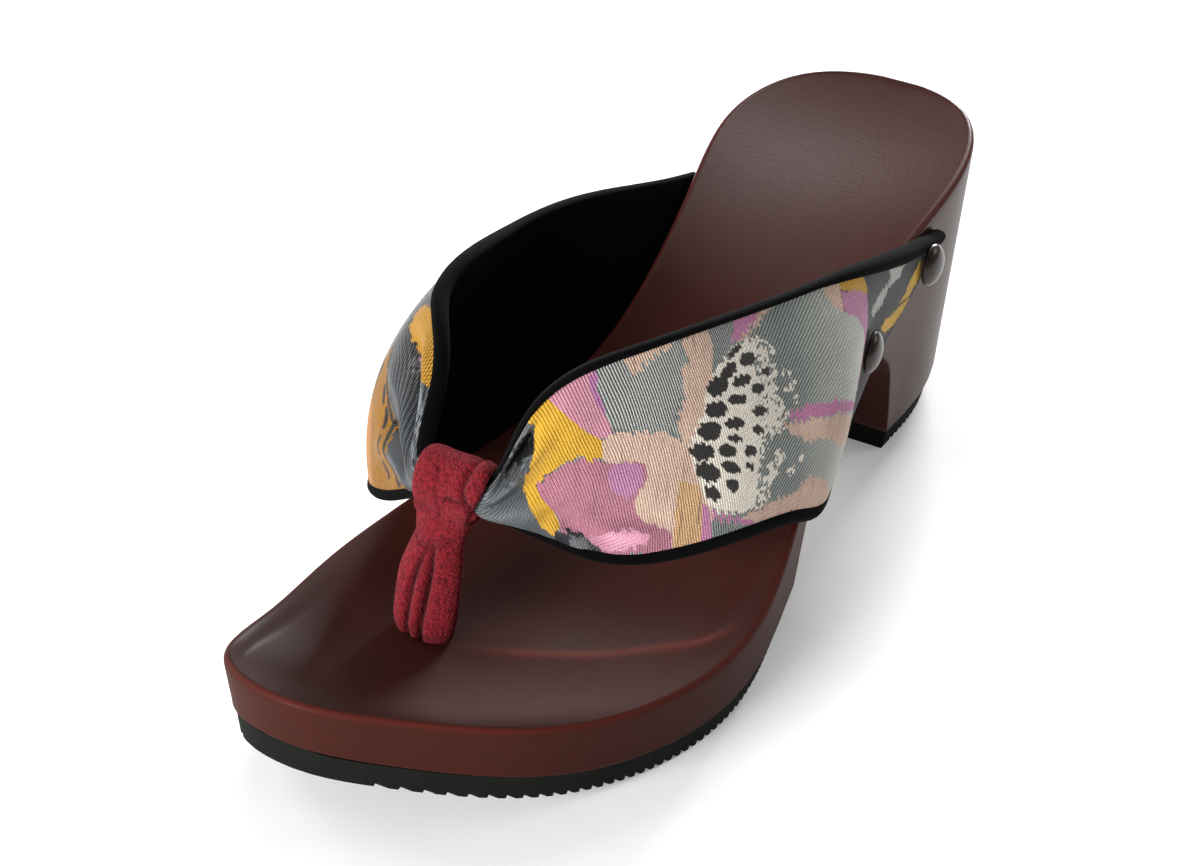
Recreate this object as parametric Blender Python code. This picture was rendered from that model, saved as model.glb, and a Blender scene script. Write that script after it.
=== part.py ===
"""Left geta: a carved wooden body on ribbed rubber soles, a broad padded strap and a crepe toe thong.

x runs to the little-toe side, y from the toe to the heel and z up. The soles' lands lie on z = 0.
Tables and sizes are in millimetres, and each mesh is built in metres.
"""
import math

import bmesh
import bpy
import numpy as np

MM = 0.001

for thing in list(bpy.data.objects):
    bpy.data.objects.remove(thing, do_unlink=True)

# ---- wooden body ----
RUBBER = 5.2          # thickness of the soles
GAP = 0.3             # clearance between neighbouring pieces
RIM_ROUND = 1.8       # radius of the worked edge round the footbed
TOE_SPRING = 0.0026   # rise of the underside per mm squared ahead of the ball
SPRING_FROM = -51.5   # y at which the underside starts to rise
CHORDS = 60           # stations from toe tip to heel tip
ACROSS = 12           # facets across the footbed

# the rim in plan, from the heel tip round the little-toe side to the toe and back
RIM_PLAN = np.array([
    # x, y
    (-2.9, 118.0), (20.2, 112.9), (30.6, 88.1), (31.2, 55.9), (34.5, 15.9), (43.3, -23.6),
    (44.0, -54.0), (34.0, -82.1), (19.7, -99.7), (2.4, -111.3), (-15.8, -117.6), (-35.1, -108.2),
    (-40.0, -83.5), (-41.0, -54.1), (-31.6, -19.8), (-18.1, 15.0), (-21.4, 55.2), (-27.1, 85.9),
    (-21.1, 108.3),
])
# height of the rim along the last
RIM_HEIGHT = np.array([
    # y, z
    (-118, 28.3), (-90, 21.9), (-60, 19.4), (-30, 22.8), (0, 34.9), (30, 50.4), (60, 59.1),
    (90, 63.7), (118, 66.9),
])
# depth of the footbed below the rim, with the low bar behind the toes at y = -72
DISH = np.array([
    # y, depth
    (-118, 0.0), (-100, 2.2), (-80, 2.8), (-72, 1.6), (-60, 3.0), (-40, 4.5), (-15, 4.0), (20, 2.0),
    (60, 2.5), (90, 3.0), (110, 1.5), (118, 0.0),
])
# how far the wall leans in from the rim to its foot, and the bevel worked round that foot
DRAFT = np.array([
    # y, inset, bevel
    (-118, 1.5, 0.4), (0, 1.5, 0.4), (40, 3.2, 0.4), (70, 3.8, 0.4), (98, 3.4, 0.5), (118, 2.0, 1.3),
])
# the arch between forefoot and heel, seen from the side
ARCH = np.array([
    # y, z
    (-2.0, -1.0), (-2.0, 0.0), (-1.0, 6.0), (1.0, 12.0), (4.0, 18.0), (9.0, 23.5), (18.0, 28.8),
    (31.0, 33.0), (42.0, 35.0), (48.6, 34.7), (54.2, 32.1), (58.9, 28.2), (61.5, 24.0),
    (64.7, 14.0), (68.3, 0.0), (68.3, -1.0),
])

# ---- rubber soles ----
RIB_PITCH = 2.4
RIB_LAND = 1.0        # flat part of each rib
RIB_DEPTH = 1.3
FOREFOOT_END = -2.2   # rear edge of the forefoot sole
HEEL_START = 68.6     # front edge of the heel sole
SOLE_INSET = 0.3      # set in from the foot of the wooden wall
SOLE_DRAFT = 0.9      # further inset at the ground

# ---- strap ----
# upper and lower edges of each wing from the thong (0) to its tail (1), and the belly between them
WING_OUTER = np.array([
    # share, top x, y, z, foot x, y, z, belly
    (0.10, -4.2, -61.0, 50.0, -5.0, -61.6, 43.0, 0.8),
    (0.22, -0.2, -52.6, 63.5, 7.0, -58.0, 38.5, 3.0),
    (0.38, 11.6, -33.7, 71.7, 21.6, -50.9, 34.2, 4.0),
    (0.54, 20.5, -14.4, 71.9, 34.7, -35.4, 34.7, 3.5),
    (0.70, 26.7, 7.5, 69.7, 41.4, -16.0, 32.0, 3.0),
    (0.84, 31.6, 29.9, 66.8, 40.4, 0.6, 29.0, 2.5),
    (0.89, 32.6, 41.5, 63.9, 36.9, 11.6, 30.2, -0.5),
    (0.93, 32.8, 52.0, 61.0, 35.4, 19.4, 32.8, -0.5),
    (0.965, 32.7, 61.4, 58.5, 34.1, 28.2, 36.6, -0.4),
    (1.00, 32.6, 71.4, 56.0, 33.1, 36.2, 40.5, 0.0),
])
WING_INNER = np.array([
    # share, top x, y, z, foot x, y, z, belly
    (0.10, -18.8, -61.0, 50.0, -17.7, -61.6, 43.0, 0.8),
    (0.22, -23.4, -48.5, 61.5, -26.8, -58.5, 37.0, 3.0),
    (0.38, -32.6, -32.5, 70.0, -36.0, -52.2, 31.6, 5.2),
    (0.54, -35.4, -15.0, 70.8, -40.0, -38.5, 26.5, 6.0),
    (0.70, -36.6, 3.0, 67.8, -34.8, -21.0, 22.9, 6.4),
    (0.84, -34.6, 23.0, 65.5, -27.0, -1.0, 28.2, 4.2),
    (0.93, -30.0, 44.0, 61.3, -21.8, 20.0, 34.2, 1.6),
    (0.965, -27.2, 55.0, 58.8, -20.0, 30.5, 38.0, 0.6),
    (1.00, -25.6, 66.0, 56.3, -19.8, 40.0, 41.8, 0.1),
])
BUNDLE = (0.0, -11.6, -61.0, 49.4, -11.6, -61.6, 42.8, 0.0)
WALL_HALF = 1.3       # half the thickness of the padded cloth
BINDING_HALF = 2.0    # half the thickness of the rolled binding
BINDING_SHARE = 0.12  # the binding's part of the strap's height
# along the strap: extra half-thickness of the gathered cloth, how far the edges' middle lies inside
# the tables' lines, and how much of the binding's roll is left where the tails are nailed flat
GATHER = np.array([
    # share, extra, trim, roll
    (0.0, 1.3, 0.0, 1.0), (0.1, 1.3, 0.0, 1.0), (0.22, 0.4, 0.7, 1.0), (0.38, 0.1, 1.2, 1.0),
    (0.93, 0.0, 1.2, 1.0), (0.965, 0.0, 1.0, 0.0), (1.0, 0.0, 0.8, 0.0),
])

# ---- thong ----
LOOP_AT = (-11.6, -61.4, 46.2)   # centre of the loop round the gathered strap
LOOP_HALF_WIDTH = 6.1
LOOP_SPREAD = 0.8     # how much wider it is on top, and narrower beneath
LOOP_DEEP = 3.9       # inner half-axis along y
LOOP_HIGH = 5.7       # inner half-axis along z
LOOP_FLARE = 0.7      # how much both open out at its edges
LOOP_WALL = 2.0
# the post's sections from the footbed up to the loop
POST = np.array([
    # z, centre x, centre y, width, depth
    (18.6, -12.5, -70.8, 11.4, 7.0), (19.6, -12.6, -70.7, 13.0, 8.2), (21.0, -12.7, -70.3, 13.7, 8.6),
    (25.0, -13.1, -68.9, 13.9, 8.6), (29.0, -13.4, -67.4, 13.6, 8.4), (33.0, -13.4, -66.1, 12.0, 8.2),
    (36.5, -13.1, -65.0, 10.4, 7.8), (39.4, -12.6, -63.6, 10.0, 7.0),
])
POST_CLEFT = 1.6      # depth of the cleft between its two lobes

# ---- nail caps ----
CAP_RADIUS = 4.75
CAP_HEIGHT = 2.8
CAP_LIFT = 0.5        # clearance of its flat back over the tail
CAPS = (
    # name, side, y, z
    ("nail_cap_outer_rear", 1, 63.0, 53.1),
    ("nail_cap_outer_front", 1, 28.6, 48.4),
    ("nail_cap_inner_rear", -1, 61.0, 52.6),
    ("nail_cap_inner_front", -1, 41.0, 45.6),
)


def through(knots, values, at):
    """Natural cubic spline through the rows of values at the knots, read at the places given."""
    knots = np.asarray(knots, float)
    values = np.asarray(values, float)
    at = np.asarray(at, float)
    count = len(knots)
    step = np.diff(knots)
    left = np.eye(count)
    right = np.zeros(values.shape)
    for i in range(1, count - 1):
        left[i, i - 1:i + 2] = step[i - 1], 2 * (step[i - 1] + step[i]), step[i]
        right[i] = 6 * ((values[i + 1] - values[i]) / step[i] - (values[i] - values[i - 1]) / step[i - 1])
    bend = np.linalg.solve(left, right)
    j = np.clip(np.searchsorted(knots, at) - 1, 0, count - 2)
    h = step[j]
    a = (knots[j + 1] - at) / h
    b = (at - knots[j]) / h
    if values.ndim > 1:
        h, a, b = h[..., None], a[..., None], b[..., None]
    curve = (a**3 - a) * bend[j] + (b**3 - b) * bend[j + 1]
    return a * values[j] + b * values[j + 1] + curve * h**2 / 6


def rim_height(y):
    return through(RIM_HEIGHT[:, 0], RIM_HEIGHT[:, 1], y)


def spring(y):
    return TOE_SPRING * np.clip(SPRING_FROM - np.asarray(y, float), 0, None)**2


def rim_sides(inset=None):
    """The rim's two sides from toe tip to heel tip, each as x, y and outward normal x, y.

    inset, where given, is a function of y that moves the curve inwards.
    """
    rows = len(RIM_PLAN)
    ring = np.vstack([RIM_PLAN[-5:], RIM_PLAN, RIM_PLAN[:6]])
    fine = rows * 50
    curve = through(np.arange(-5, rows + 6), ring, np.arange(fine) / fine * rows)
    along = np.roll(curve, -1, axis=0) - np.roll(curve, 1, axis=0)
    out = np.stack([-along[:, 1], along[:, 0]], axis=1)
    out /= np.linalg.norm(out, axis=1)[:, None]
    if inset is not None:
        curve = curve - out * inset(curve[:, 1])[:, None]
    both = np.roll(np.hstack([curve, out]), -curve[:, 1].argmin(), axis=0)
    both = np.vstack([both, both[:1]])
    heel = both[:, 1].argmax()
    return both[heel:][::-1], both[:heel + 1]


def rim_loop(count):
    """Rim points and normals round the body: toe tip, little-toe side, heel tip, big-toe side."""
    outer, inner = rim_sides()
    turn = (1 - np.cos(np.pi * np.arange(count + 1) / count)) / 2
    y = outer[0, 1] + (outer[-1, 1] - outer[0, 1]) * turn
    outer, inner = (
        np.stack([np.interp(y, side[:, 1], side[:, i]) for i in range(4)], axis=1)
        for side in (outer, inner)
    )
    return np.vstack([outer, inner[-2:0:-1]])


def new_object(name, bm, colour, roughness, metallic=0.0):
    """Scales the mesh to metres, turns its faces outwards and gives it its own material."""
    bmesh.ops.recalc_face_normals(bm, faces=bm.faces)
    bmesh.ops.scale(bm, vec=(MM, MM, MM), verts=bm.verts)
    mesh = bpy.data.meshes.new(name)
    bm.to_mesh(mesh)
    bm.free()
    thing = bpy.data.objects.new(name, mesh)
    bpy.context.scene.collection.objects.link(thing)
    mesh.shade_smooth()
    mesh.set_sharp_from_angle(angle=math.radians(40))
    material = bpy.data.materials.new(name)
    material.use_nodes = True
    shader = material.node_tree.nodes["Principled BSDF"]
    shader.inputs["Base Color"].default_value = (*colour, 1)
    shader.inputs["Roughness"].default_value = roughness
    shader.inputs["Metallic"].default_value = metallic
    mesh.materials.append(material)
    return thing


def add_ring(bm, points):
    return [bm.verts.new([float(c) for c in point]) for point in points]


def skin(bm, first, second):
    """Joins two rings with quads."""
    for i in range(len(first)):
        j = (i + 1) % len(first)
        bm.faces.new((first[i], first[j], second[j], second[i]))


def deck(bm, loop, across, height):
    """Fills a toe-to-heel loop with chords, whose inner points height(x, y, share) places."""
    half = len(loop) // 2
    rows = [[loop[0]]]
    for k in range(1, half):
        start, end = loop[k], loop[-k]
        row = [start]
        for j in range(1, across):
            point = start.co.lerp(end.co, j / across)
            point.z = height(point.x, point.y, 2 * j / across - 1)
            row.append(bm.verts.new(point))
        rows.append(row + [end])
    rows.append([loop[half]])
    for one, two in zip(rows, rows[1:]):
        for j in range(across):
            corners = [one[min(j, len(one) - 1)], one[min(j + 1, len(one) - 1)],
                       two[min(j + 1, len(two) - 1)], two[min(j, len(two) - 1)]]
            bm.faces.new(list(dict.fromkeys(corners)))


# ---- wooden body: rings down from the rim, a dished deck on top and the arch cut through ----
loop = rim_loop(CHORDS)
draft, bevel = through(DRAFT[:, 0], DRAFT[:, 1:], loop[:, 1]).T
rim_z = rim_height(loop[:, 1])
foot_z = RUBBER + GAP + spring(loop[:, 1])
foot_edge = 3.4 * bevel
levels = (
    # inset, height
    (RIM_ROUND * np.ones(len(loop)), rim_z),
    (0.3 * RIM_ROUND * np.ones(len(loop)), rim_z - 0.3 * RIM_ROUND),
    (np.zeros(len(loop)), rim_z - RIM_ROUND),
    (0.5 * draft, (rim_z - RIM_ROUND + foot_z + foot_edge) / 2),
    (draft, foot_z + foot_edge),
    (draft + bevel, foot_z),
)
bm = bmesh.new()
rings = []
for inset, z in levels:
    plan = loop[:, :2] - loop[:, 2:] * inset[:, None]
    rings.append(add_ring(bm, np.column_stack([plan, z])))
for upper, lower in zip(rings, rings[1:]):
    skin(bm, upper, lower)
for vert in rings[0]:
    vert.co.z = float(rim_height(vert.co.y))
for vert in rings[-1]:
    vert.co.z = RUBBER + GAP + float(spring(vert.co.y))
deck(bm, rings[0], ACROSS,
     lambda x, y, share: float(rim_height(y) - np.interp(y, DISH[:, 0], DISH[:, 1]) * (1 - share**2)))
deck(bm, rings[-1], 1, None)
wood_body = new_object("wood_body", bm, (0.16, 0.075, 0.062), 0.38)

bm = bmesh.new()
near = add_ring(bm, [(-70, y, z) for y, z in ARCH])
far = add_ring(bm, [(70, y, z) for y, z in ARCH])
skin(bm, near, far)
bm.faces.new(near)
bm.faces.new(far[::-1])
arch = new_object("arch_cutter", bm, (0.5, 0.5, 0.5), 0.5)
arch.hide_render = True
arch.display_type = "WIRE"
cut = wood_body.modifiers.new("arch", "BOOLEAN")
cut.operation = "DIFFERENCE"
cut.solver = "EXACT"
cut.object = arch


# ---- rubber soles: sections along y whose underside steps down in saw-tooth ribs ----
def sole(name, start, end, colour):
    """One ribbed plate between two y limits, with the body's own outline and toe spring."""
    def foot_inset(y, more):
        return through(DRAFT[:, 0], DRAFT[:, 1] + DRAFT[:, 2], y) + SOLE_INSET + more

    top = rim_sides(lambda y: foot_inset(y, 0.0))
    ground = rim_sides(lambda y: foot_inset(y, SOLE_DRAFT))
    start = max(start, ground[0][0, 1] + 0.35)
    end = min(end, ground[0][-1, 1] - 0.35)
    stations = []
    first = math.ceil((start + RIB_PITCH) / RIB_PITCH) * RIB_PITCH
    stations.append((start, 0.0))
    y = first
    while y < end - RIB_PITCH * 0.6:
        stations += [(y, 0.0), (y + RIB_LAND, 0.0), (y + RIB_LAND + 0.35, RIB_DEPTH)]
        y += RIB_PITCH
    stations = [s for s in stations if s[0] < end - 0.3] + [(end, 0.0)]
    bm = bmesh.new()
    rings = []
    for y, rib in stations:
        rise = float(spring(y))
        x = [float(np.interp(y, side[:, 1], side[:, 0])) for side in (*top, *ground)]
        low = rib + rise
        rings.append(add_ring(bm, [
            (x[0], y, RUBBER + rise), (x[2] + 0.4, y, 1.9 + rise), (x[2], y, low),
            (x[3], y, low), (x[3] - 0.4, y, 1.9 + rise), (x[1], y, RUBBER + rise),
        ]))
    for one, two in zip(rings, rings[1:]):
        skin(bm, one, two)
    bm.faces.new(rings[0])
    bm.faces.new(rings[-1][::-1])
    return new_object(name, bm, colour, 0.8)


sole("forefoot_sole", -200, FOREFOOT_END, (0.028, 0.03, 0.028))
sole("heel_sole", HEEL_START, 200, (0.028, 0.03, 0.028))


# ---- strap: one loft from the big-toe side's tail over the thong to the little-toe side's tail ----
def wing_rows():
    inner = WING_INNER[::-1] * np.array([-1, 1, 1, 1, 1, 1, 1, 1])
    return np.vstack([inner, [BUNDLE], WING_OUTER])


def strap_frame(share):
    """Upper edge, lower edge, outward normal, belly, gather and roll of the strap at shares of -1 to 1."""
    rows = wing_rows()
    share = np.asarray(share, float)
    read = through(rows[:, 0], rows[:, 1:], share)
    ahead = through(rows[:, 0], rows[:, 1:], share + 0.004)
    behind = through(rows[:, 0], rows[:, 1:], share - 0.004)
    top, foot = read[:, 0:3], read[:, 3:6]
    along = (ahead - behind)[:, 0:3] + (ahead - behind)[:, 3:6]
    normal = np.cross(foot - top, along)
    normal /= np.linalg.norm(normal, axis=1)[:, None]
    gather, trim, roll = (np.interp(np.abs(share), GATHER[:, 0], GATHER[:, i]) for i in (1, 2, 3))
    down = foot - top
    down *= (trim / np.linalg.norm(down, axis=1))[:, None]
    return top + down, foot - down, normal, read[:, 6], gather, roll


def strap_ring(top, foot, normal, belly, gather, roll):
    """One section: the outer face with its bindings as steps, round edges and a plain lining."""
    edge_half = WALL_HALF + (BINDING_HALF - WALL_HALF) * 0.55 * roll
    full_half = WALL_HALF + (BINDING_HALF - WALL_HALF) * roll
    step_half = WALL_HALF + (BINDING_HALF - WALL_HALF) * 0.45 * roll
    step = BINDING_SHARE
    half_side = ((0.0, edge_half), (0.07, full_half), (step, step_half), (step + 0.012, WALL_HALF), (0.3, WALL_HALF))
    outer = half_side + ((0.5, WALL_HALF),) + tuple((1 - down, half) for down, half in half_side[::-1])
    inner = ((1.0, edge_half), (0.88, WALL_HALF), (0.7, WALL_HALF), (0.5, WALL_HALF), (0.3, WALL_HALF),
             (0.12, WALL_HALF), (0.0, edge_half))

    def place(down, off):
        swell = 4 * down * (1 - down)
        return top * (1 - down) + foot * down + normal * (swell * belly + off)

    def edge(centre, towards, side):
        turn = math.radians(45)
        return [centre + towards * edge_half * math.cos(a) + normal * side * edge_half * math.sin(a)
                for a in (turn, 0, -turn)]

    up = top - foot
    up = up / np.linalg.norm(up)
    points = []
    for down, half in outer:
        points.append(place(down, half + gather * 4 * down * (1 - down)))
    points += edge(foot, -up, 1)
    for down, half in inner:
        points.append(place(down, -half - gather * 4 * down * (1 - down)))
    points += edge(top, up, -1)
    return points


near_thong = np.linspace(0, 0.22, 9)
shares = np.concatenate([near_thong, np.linspace(0.22, 1, 21)[1:]])
shares = np.concatenate([-shares[:0:-1], shares])
bm = bmesh.new()
rings = [add_ring(bm, strap_ring(*section)) for section in zip(*strap_frame(shares))]
for one, two in zip(rings, rings[1:]):
    skin(bm, one, two)
for tail in (rings[0], rings[-1][::-1]):
    bm.faces.new(tail)
new_object("strap_upper", bm, (0.42, 0.42, 0.40), 0.7)


# ---- thong: a loop round the gathered strap, joined to the two-lobed post ----
def loop_section(share, grow):
    """An oval round the loop's axis, at a share of its half-width, grown outwards from its inside."""
    flare = LOOP_FLARE * share**2
    turns = np.arange(28) / 28 * 2 * np.pi
    return [(LOOP_AT[0] + share * (LOOP_HALF_WIDTH + LOOP_SPREAD * math.sin(t)),
             LOOP_AT[1] + (LOOP_DEEP + flare + grow) * math.cos(t),
             LOOP_AT[2] + (LOOP_HIGH + flare + grow) * math.sin(t)) for t in turns]


bm = bmesh.new()
across = (-1, -0.85, -0.4, 0, 0.4, 0.85, 1)
rings = [add_ring(bm, loop_section(x, LOOP_WALL if abs(x) < 1 else LOOP_WALL * 0.6)) for x in across]
rings += [add_ring(bm, loop_section(x, 0.0)) for x in across[::-1]]
for one, two in zip(rings, rings[1:] + rings[:1]):
    skin(bm, one, two)
toe_thong = new_object("toe_thong", bm, (0.35, 0.035, 0.05), 0.85)

bm = bmesh.new()
rings = []
for z, x, y, width, depth in through(POST[:, 0], np.column_stack([POST[:, 0], POST[:, 1:]]),
                                     np.linspace(POST[0, 0], POST[-1, 0], 14)):
    ring = []
    for t in np.arange(26) / 26 * 2 * np.pi:
        side = math.cos(t)
        front = math.sin(t)
        cleft = POST_CLEFT * math.exp(-(side / 0.22)**2) * min(1, (POST[-1, 0] - z) / 8)
        reach = depth / 2 * front
        if front < 0:
            reach += cleft
        ring.append((x + width / 2 * side, y + reach, z))
    rings.append(add_ring(bm, ring))
for one, two in zip(rings, rings[1:]):
    skin(bm, one, two)
bm.faces.new(rings[0])
bm.faces.new(rings[-1][::-1])
post = new_object("thong_post", bm, (0.35, 0.035, 0.05), 0.85)
post.hide_render = True
post.display_type = "WIRE"
join = toe_thong.modifiers.new("post", "BOOLEAN")
join.operation = "UNION"
join.solver = "EXACT"
join.object = post


# ---- nail caps: shallow domes on the tails ----
def nail_cap(name, side, y, z):
    """A dome whose flat back lies a little off the tail, where the tail comes nearest to (y, z)."""
    shares = side * np.linspace(0.88, 1, 49)
    top, foot, out, belly, _, _ = strap_frame(shares)
    down = np.linspace(0, 1, 41)[None, :, None]
    sheet = top[:, None] * (1 - down) + foot[:, None] * down
    sheet = sheet + out[:, None] * belly[:, None, None] * 4 * down * (1 - down)
    i, j = np.unravel_index(np.hypot(sheet[..., 1] - y, sheet[..., 2] - z).argmin(), sheet.shape[:2])
    i, j = np.clip(i, 3, 45), np.clip(j, 3, 37)
    normal = side * np.cross(sheet[i, j + 3] - sheet[i, j - 3], sheet[i + 3, j] - sheet[i - 3, j])
    normal /= np.linalg.norm(normal)
    base = sheet[i, j]
    x = base[0] - (normal[1] * (y - base[1]) + normal[2] * (z - base[2])) / normal[0]
    at = np.array([x, y, z])
    rise = (sheet - at) @ normal
    under = np.linalg.norm(sheet - at - rise[..., None] * normal, axis=2) < CAP_RADIUS + 1
    at = at + normal * (rise[under].max() + WALL_HALF + CAP_LIFT)
    across = np.cross(normal, (0, 0, 1))
    across /= np.linalg.norm(across)
    up = np.cross(across, normal)
    profile = ((0.96, 0.0), (1.0, 0.14), (0.94, 0.42), (0.78, 0.68), (0.52, 0.88), (0.26, 0.97))
    bm = bmesh.new()
    rings = []
    for reach, rise in profile:
        rings.append(add_ring(bm, [
            at + normal * CAP_HEIGHT * rise
            + CAP_RADIUS * reach * (across * math.cos(t) + up * math.sin(t))
            for t in np.arange(20) / 20 * 2 * np.pi
        ]))
    for one, two in zip(rings, rings[1:]):
        skin(bm, one, two)
    bm.faces.new(rings[0])
    crown = add_ring(bm, [at + normal * CAP_HEIGHT])[0]
    for i, vert in enumerate(rings[-1]):
        bm.faces.new((vert, rings[-1][(i + 1) % 20], crown))
    return new_object(name, bm, (0.06, 0.04, 0.036), 0.2, 0.3)


for row in CAPS:
    nail_cap(*row)
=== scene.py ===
"""Dress of the left geta: lacquered wood, ribbed rubber, a brocade strap and a crimson crepe thong.

The frame's x runs to the little-toe side, y from the toe to the heel and z up, in metres; the
tables and the surfaces below are in millimetres and turned to metres as each mesh is made.
"""
import math

import bmesh
import bpy
import numpy as np
from mathutils import Matrix, Vector


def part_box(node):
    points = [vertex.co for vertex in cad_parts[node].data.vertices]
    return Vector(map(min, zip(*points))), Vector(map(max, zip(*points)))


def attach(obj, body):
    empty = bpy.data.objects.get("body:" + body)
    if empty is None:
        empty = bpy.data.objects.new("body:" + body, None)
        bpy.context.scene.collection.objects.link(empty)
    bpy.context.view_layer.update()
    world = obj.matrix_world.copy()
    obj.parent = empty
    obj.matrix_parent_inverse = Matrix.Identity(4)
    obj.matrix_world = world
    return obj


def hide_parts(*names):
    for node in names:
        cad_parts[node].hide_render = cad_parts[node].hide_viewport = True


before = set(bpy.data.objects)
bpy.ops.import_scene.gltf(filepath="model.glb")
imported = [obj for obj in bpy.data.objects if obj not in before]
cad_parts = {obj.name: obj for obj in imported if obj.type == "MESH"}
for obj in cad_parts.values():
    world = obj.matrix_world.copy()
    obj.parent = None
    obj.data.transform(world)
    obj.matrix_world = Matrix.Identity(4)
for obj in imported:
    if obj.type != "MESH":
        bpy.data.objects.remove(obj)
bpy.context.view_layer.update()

# ======== floor, light and camera ========
# A lit white table in a dim studio: low soft boxes in front and to the left model the walls and the
# cloth, one behind lays a broad satin reflection on the heel, and the shadows stay short and soft.


def connect(made, target, sockets):
    """Each socket of a shader node is given its value, or linked where that is another's output."""
    for key, value in dict(sockets).items():
        if isinstance(value, bpy.types.NodeSocket):
            made.node_tree.links.new(value, target.inputs[key])
        else:
            target.inputs[key].default_value = value


def finish_with(made, **sockets):
    """Values on, or links into, the sockets of the material's own Principled shader."""
    spaced = {key.replace("_", " "): value for key, value in sockets.items()}
    connect(made, made.node_tree.nodes["Principled BSDF"], spaced)


def material(name, **sockets):
    """A node material whose shader's own sockets hold the given values."""
    made = bpy.data.materials.new(name)
    made.use_nodes = True
    finish_with(made, **sockets)
    return made


def node(made, kind, output, sockets=(), **settings):
    """One output of a new shader node of the kind."""
    new = made.node_tree.nodes.new("ShaderNode" + kind)
    for key, value in settings.items():
        setattr(new, key, value)
    connect(made, new, sockets)
    return new.outputs[output]


def linear(code):
    """A colour written as six hex digits, as linear red, green, blue and an alpha of 1."""
    parts = [int(code[i:i + 2], 16) / 255 for i in (0, 2, 4)]
    return tuple(c / 12.92 if c <= 0.04045 else ((c + 0.055) / 1.055)**2.4 for c in parts) + (1.0,)


def mixed(made, share, low, high, **settings):
    """A colour a share of the way from low to high, each a hex code, a value or an output."""
    low, high = (linear(end) if isinstance(end, str) else end for end in (low, high))
    return node(made, "Mix", 2, {0: share, 6: low, 7: high}, data_type="RGBA", **settings)


def add_object(name, points, faces, made, body="root"):
    """A smooth mesh object at the origin from points in millimetres, riding on the body."""
    mesh = bpy.data.meshes.new(name)
    mesh.from_pydata((np.reshape(points, (-1, 3)) * 0.001).tolist(), [], np.asarray(faces).tolist())
    mesh.materials.append(made)
    mesh.shade_smooth()
    thing = bpy.data.objects.new(name, mesh)
    bpy.context.scene.collection.objects.link(thing)
    if body:
        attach(thing, body)
    return thing


floor_paint = material("floor_white", Roughness=0.7, Specular_IOR_Level=0.1, Emission_Strength=0.18)
grain = node(floor_paint, "TexNoise", "Fac", {"Scale": 900.0, "Detail": 3.0})
tint = mixed(floor_paint, grain, "f4f4f3", "fafaf9")
finish_with(floor_paint, Base_Color=tint, Emission_Color=tint)
corners = [(-3000, -3000, 0), (3000, -3000, 0), (3000, 3000, 0), (-3000, 3000, 0)]
floor = add_object("floor", corners, [(0, 1, 2, 3)], floor_paint, None)

scene = bpy.context.scene
scene.view_settings.view_transform = "Standard"
world = bpy.data.worlds.new("studio")
world.use_nodes = True
room = world.node_tree.nodes["Background"]
room.inputs["Color"].default_value = (1, 1, 1, 1)
room.inputs["Strength"].default_value = 0.19
scene.world = world
for name, place, aim, size, power in (
    ("front", (-0.35, -1.4, 0.4), (0, -0.1, 0.02), (0.8, 0.4), 38.0),
    ("left", (-1.4, 0.1, 0.6), (0, 0, 0.03), (0.9, 0.7), 11.0),
    ("back", (-0.3, 1.5, 0.62), (0, 0.09, 0.06), (0.6, 0.3), 36.0),
    ("overhead", (-0.40, 0.55, 1.15), (0, 0.06, 0.05), (0.8, 0.6), 3.5),
    ("right", (0.9, 0.9, 0.8), (0, 0, 0.04), (0.6, 0.5), 3.0),
):
    lamp = bpy.data.lights.new(name, "AREA")
    lamp.shape = "RECTANGLE"
    lamp.size, lamp.size_y = size
    lamp.energy = power
    thing = bpy.data.objects.new(name, lamp)
    scene.collection.objects.link(thing)
    thing.location = place
    thing.rotation_euler = (Vector(aim) - Vector(place)).to_track_quat("-Z", "Y").to_euler()

lens = bpy.data.cameras.new("camera")
lens.lens, lens.sensor_width, lens.clip_start = 101.0, 36.0, 0.05
camera = bpy.data.objects.new("camera", lens)
scene.collection.objects.link(camera)
place, aim, roll = Vector((0.26146, -0.54614, 0.40182)), Vector((-0.00946, -0.0043, 0.03)), 3.352
level = (aim - place).to_track_quat("-Z", "Y").to_matrix()
rolled = level @ Matrix.Rotation(math.radians(roll), 3, "Z")
camera.matrix_world = Matrix.Translation(place) @ rolled.to_4x4()
scene.camera = camera

# ======== wooden body ========
# One block of light wood carved to the foot, with a rounded rim, a low bar behind the toes and a
# hollow for the big toe, under dark reddish-brown satin lacquer that is lighter and redder round the
# rim's edge, with a highlight painted as a redder line along the bar's crest.
RIM_PLAN = np.array([
    # x, y round the rim from the heel tip along the little-toe side
    (-2.9, 118.0), (20.2, 112.9), (30.6, 88.1), (31.2, 55.9), (34.5, 15.9), (43.3, -23.6),
    (44.0, -54.0), (34.0, -82.1), (19.7, -99.7), (2.4, -111.3), (-15.8, -117.6), (-35.1, -108.2),
    (-40.0, -83.5), (-41.0, -54.1), (-31.6, -19.8), (-18.1, 15.0), (-21.4, 55.2), (-27.1, 85.9),
    (-21.1, 108.3),
])
RIM_HEIGHT = np.array([
    # y, z
    (-118, 28.3), (-90, 21.9), (-60, 19.4), (-30, 22.8), (0, 34.9), (30, 50.4), (60, 59.1),
    (90, 63.7), (118, 66.9),
])
DISH = np.array([
    # y, depth of the footbed below the rim
    (-118, 0.0), (-108, 1.2), (-96, 2.2), (-80, 2.6), (-60, 3.2), (-40, 4.3), (-15, 3.8), (20, 2.2),
    (60, 2.5), (90, 2.9), (108, 1.6), (118, 0.0),
])
DRAFT = np.array([
    # y, how far the wall leans in, bevel round its foot
    (-118, 1.5, 0.4), (0, 1.5, 0.4), (40, 3.2, 0.4), (70, 3.8, 0.4), (98, 3.4, 0.5), (118, 2.0, 1.3),
])
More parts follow.
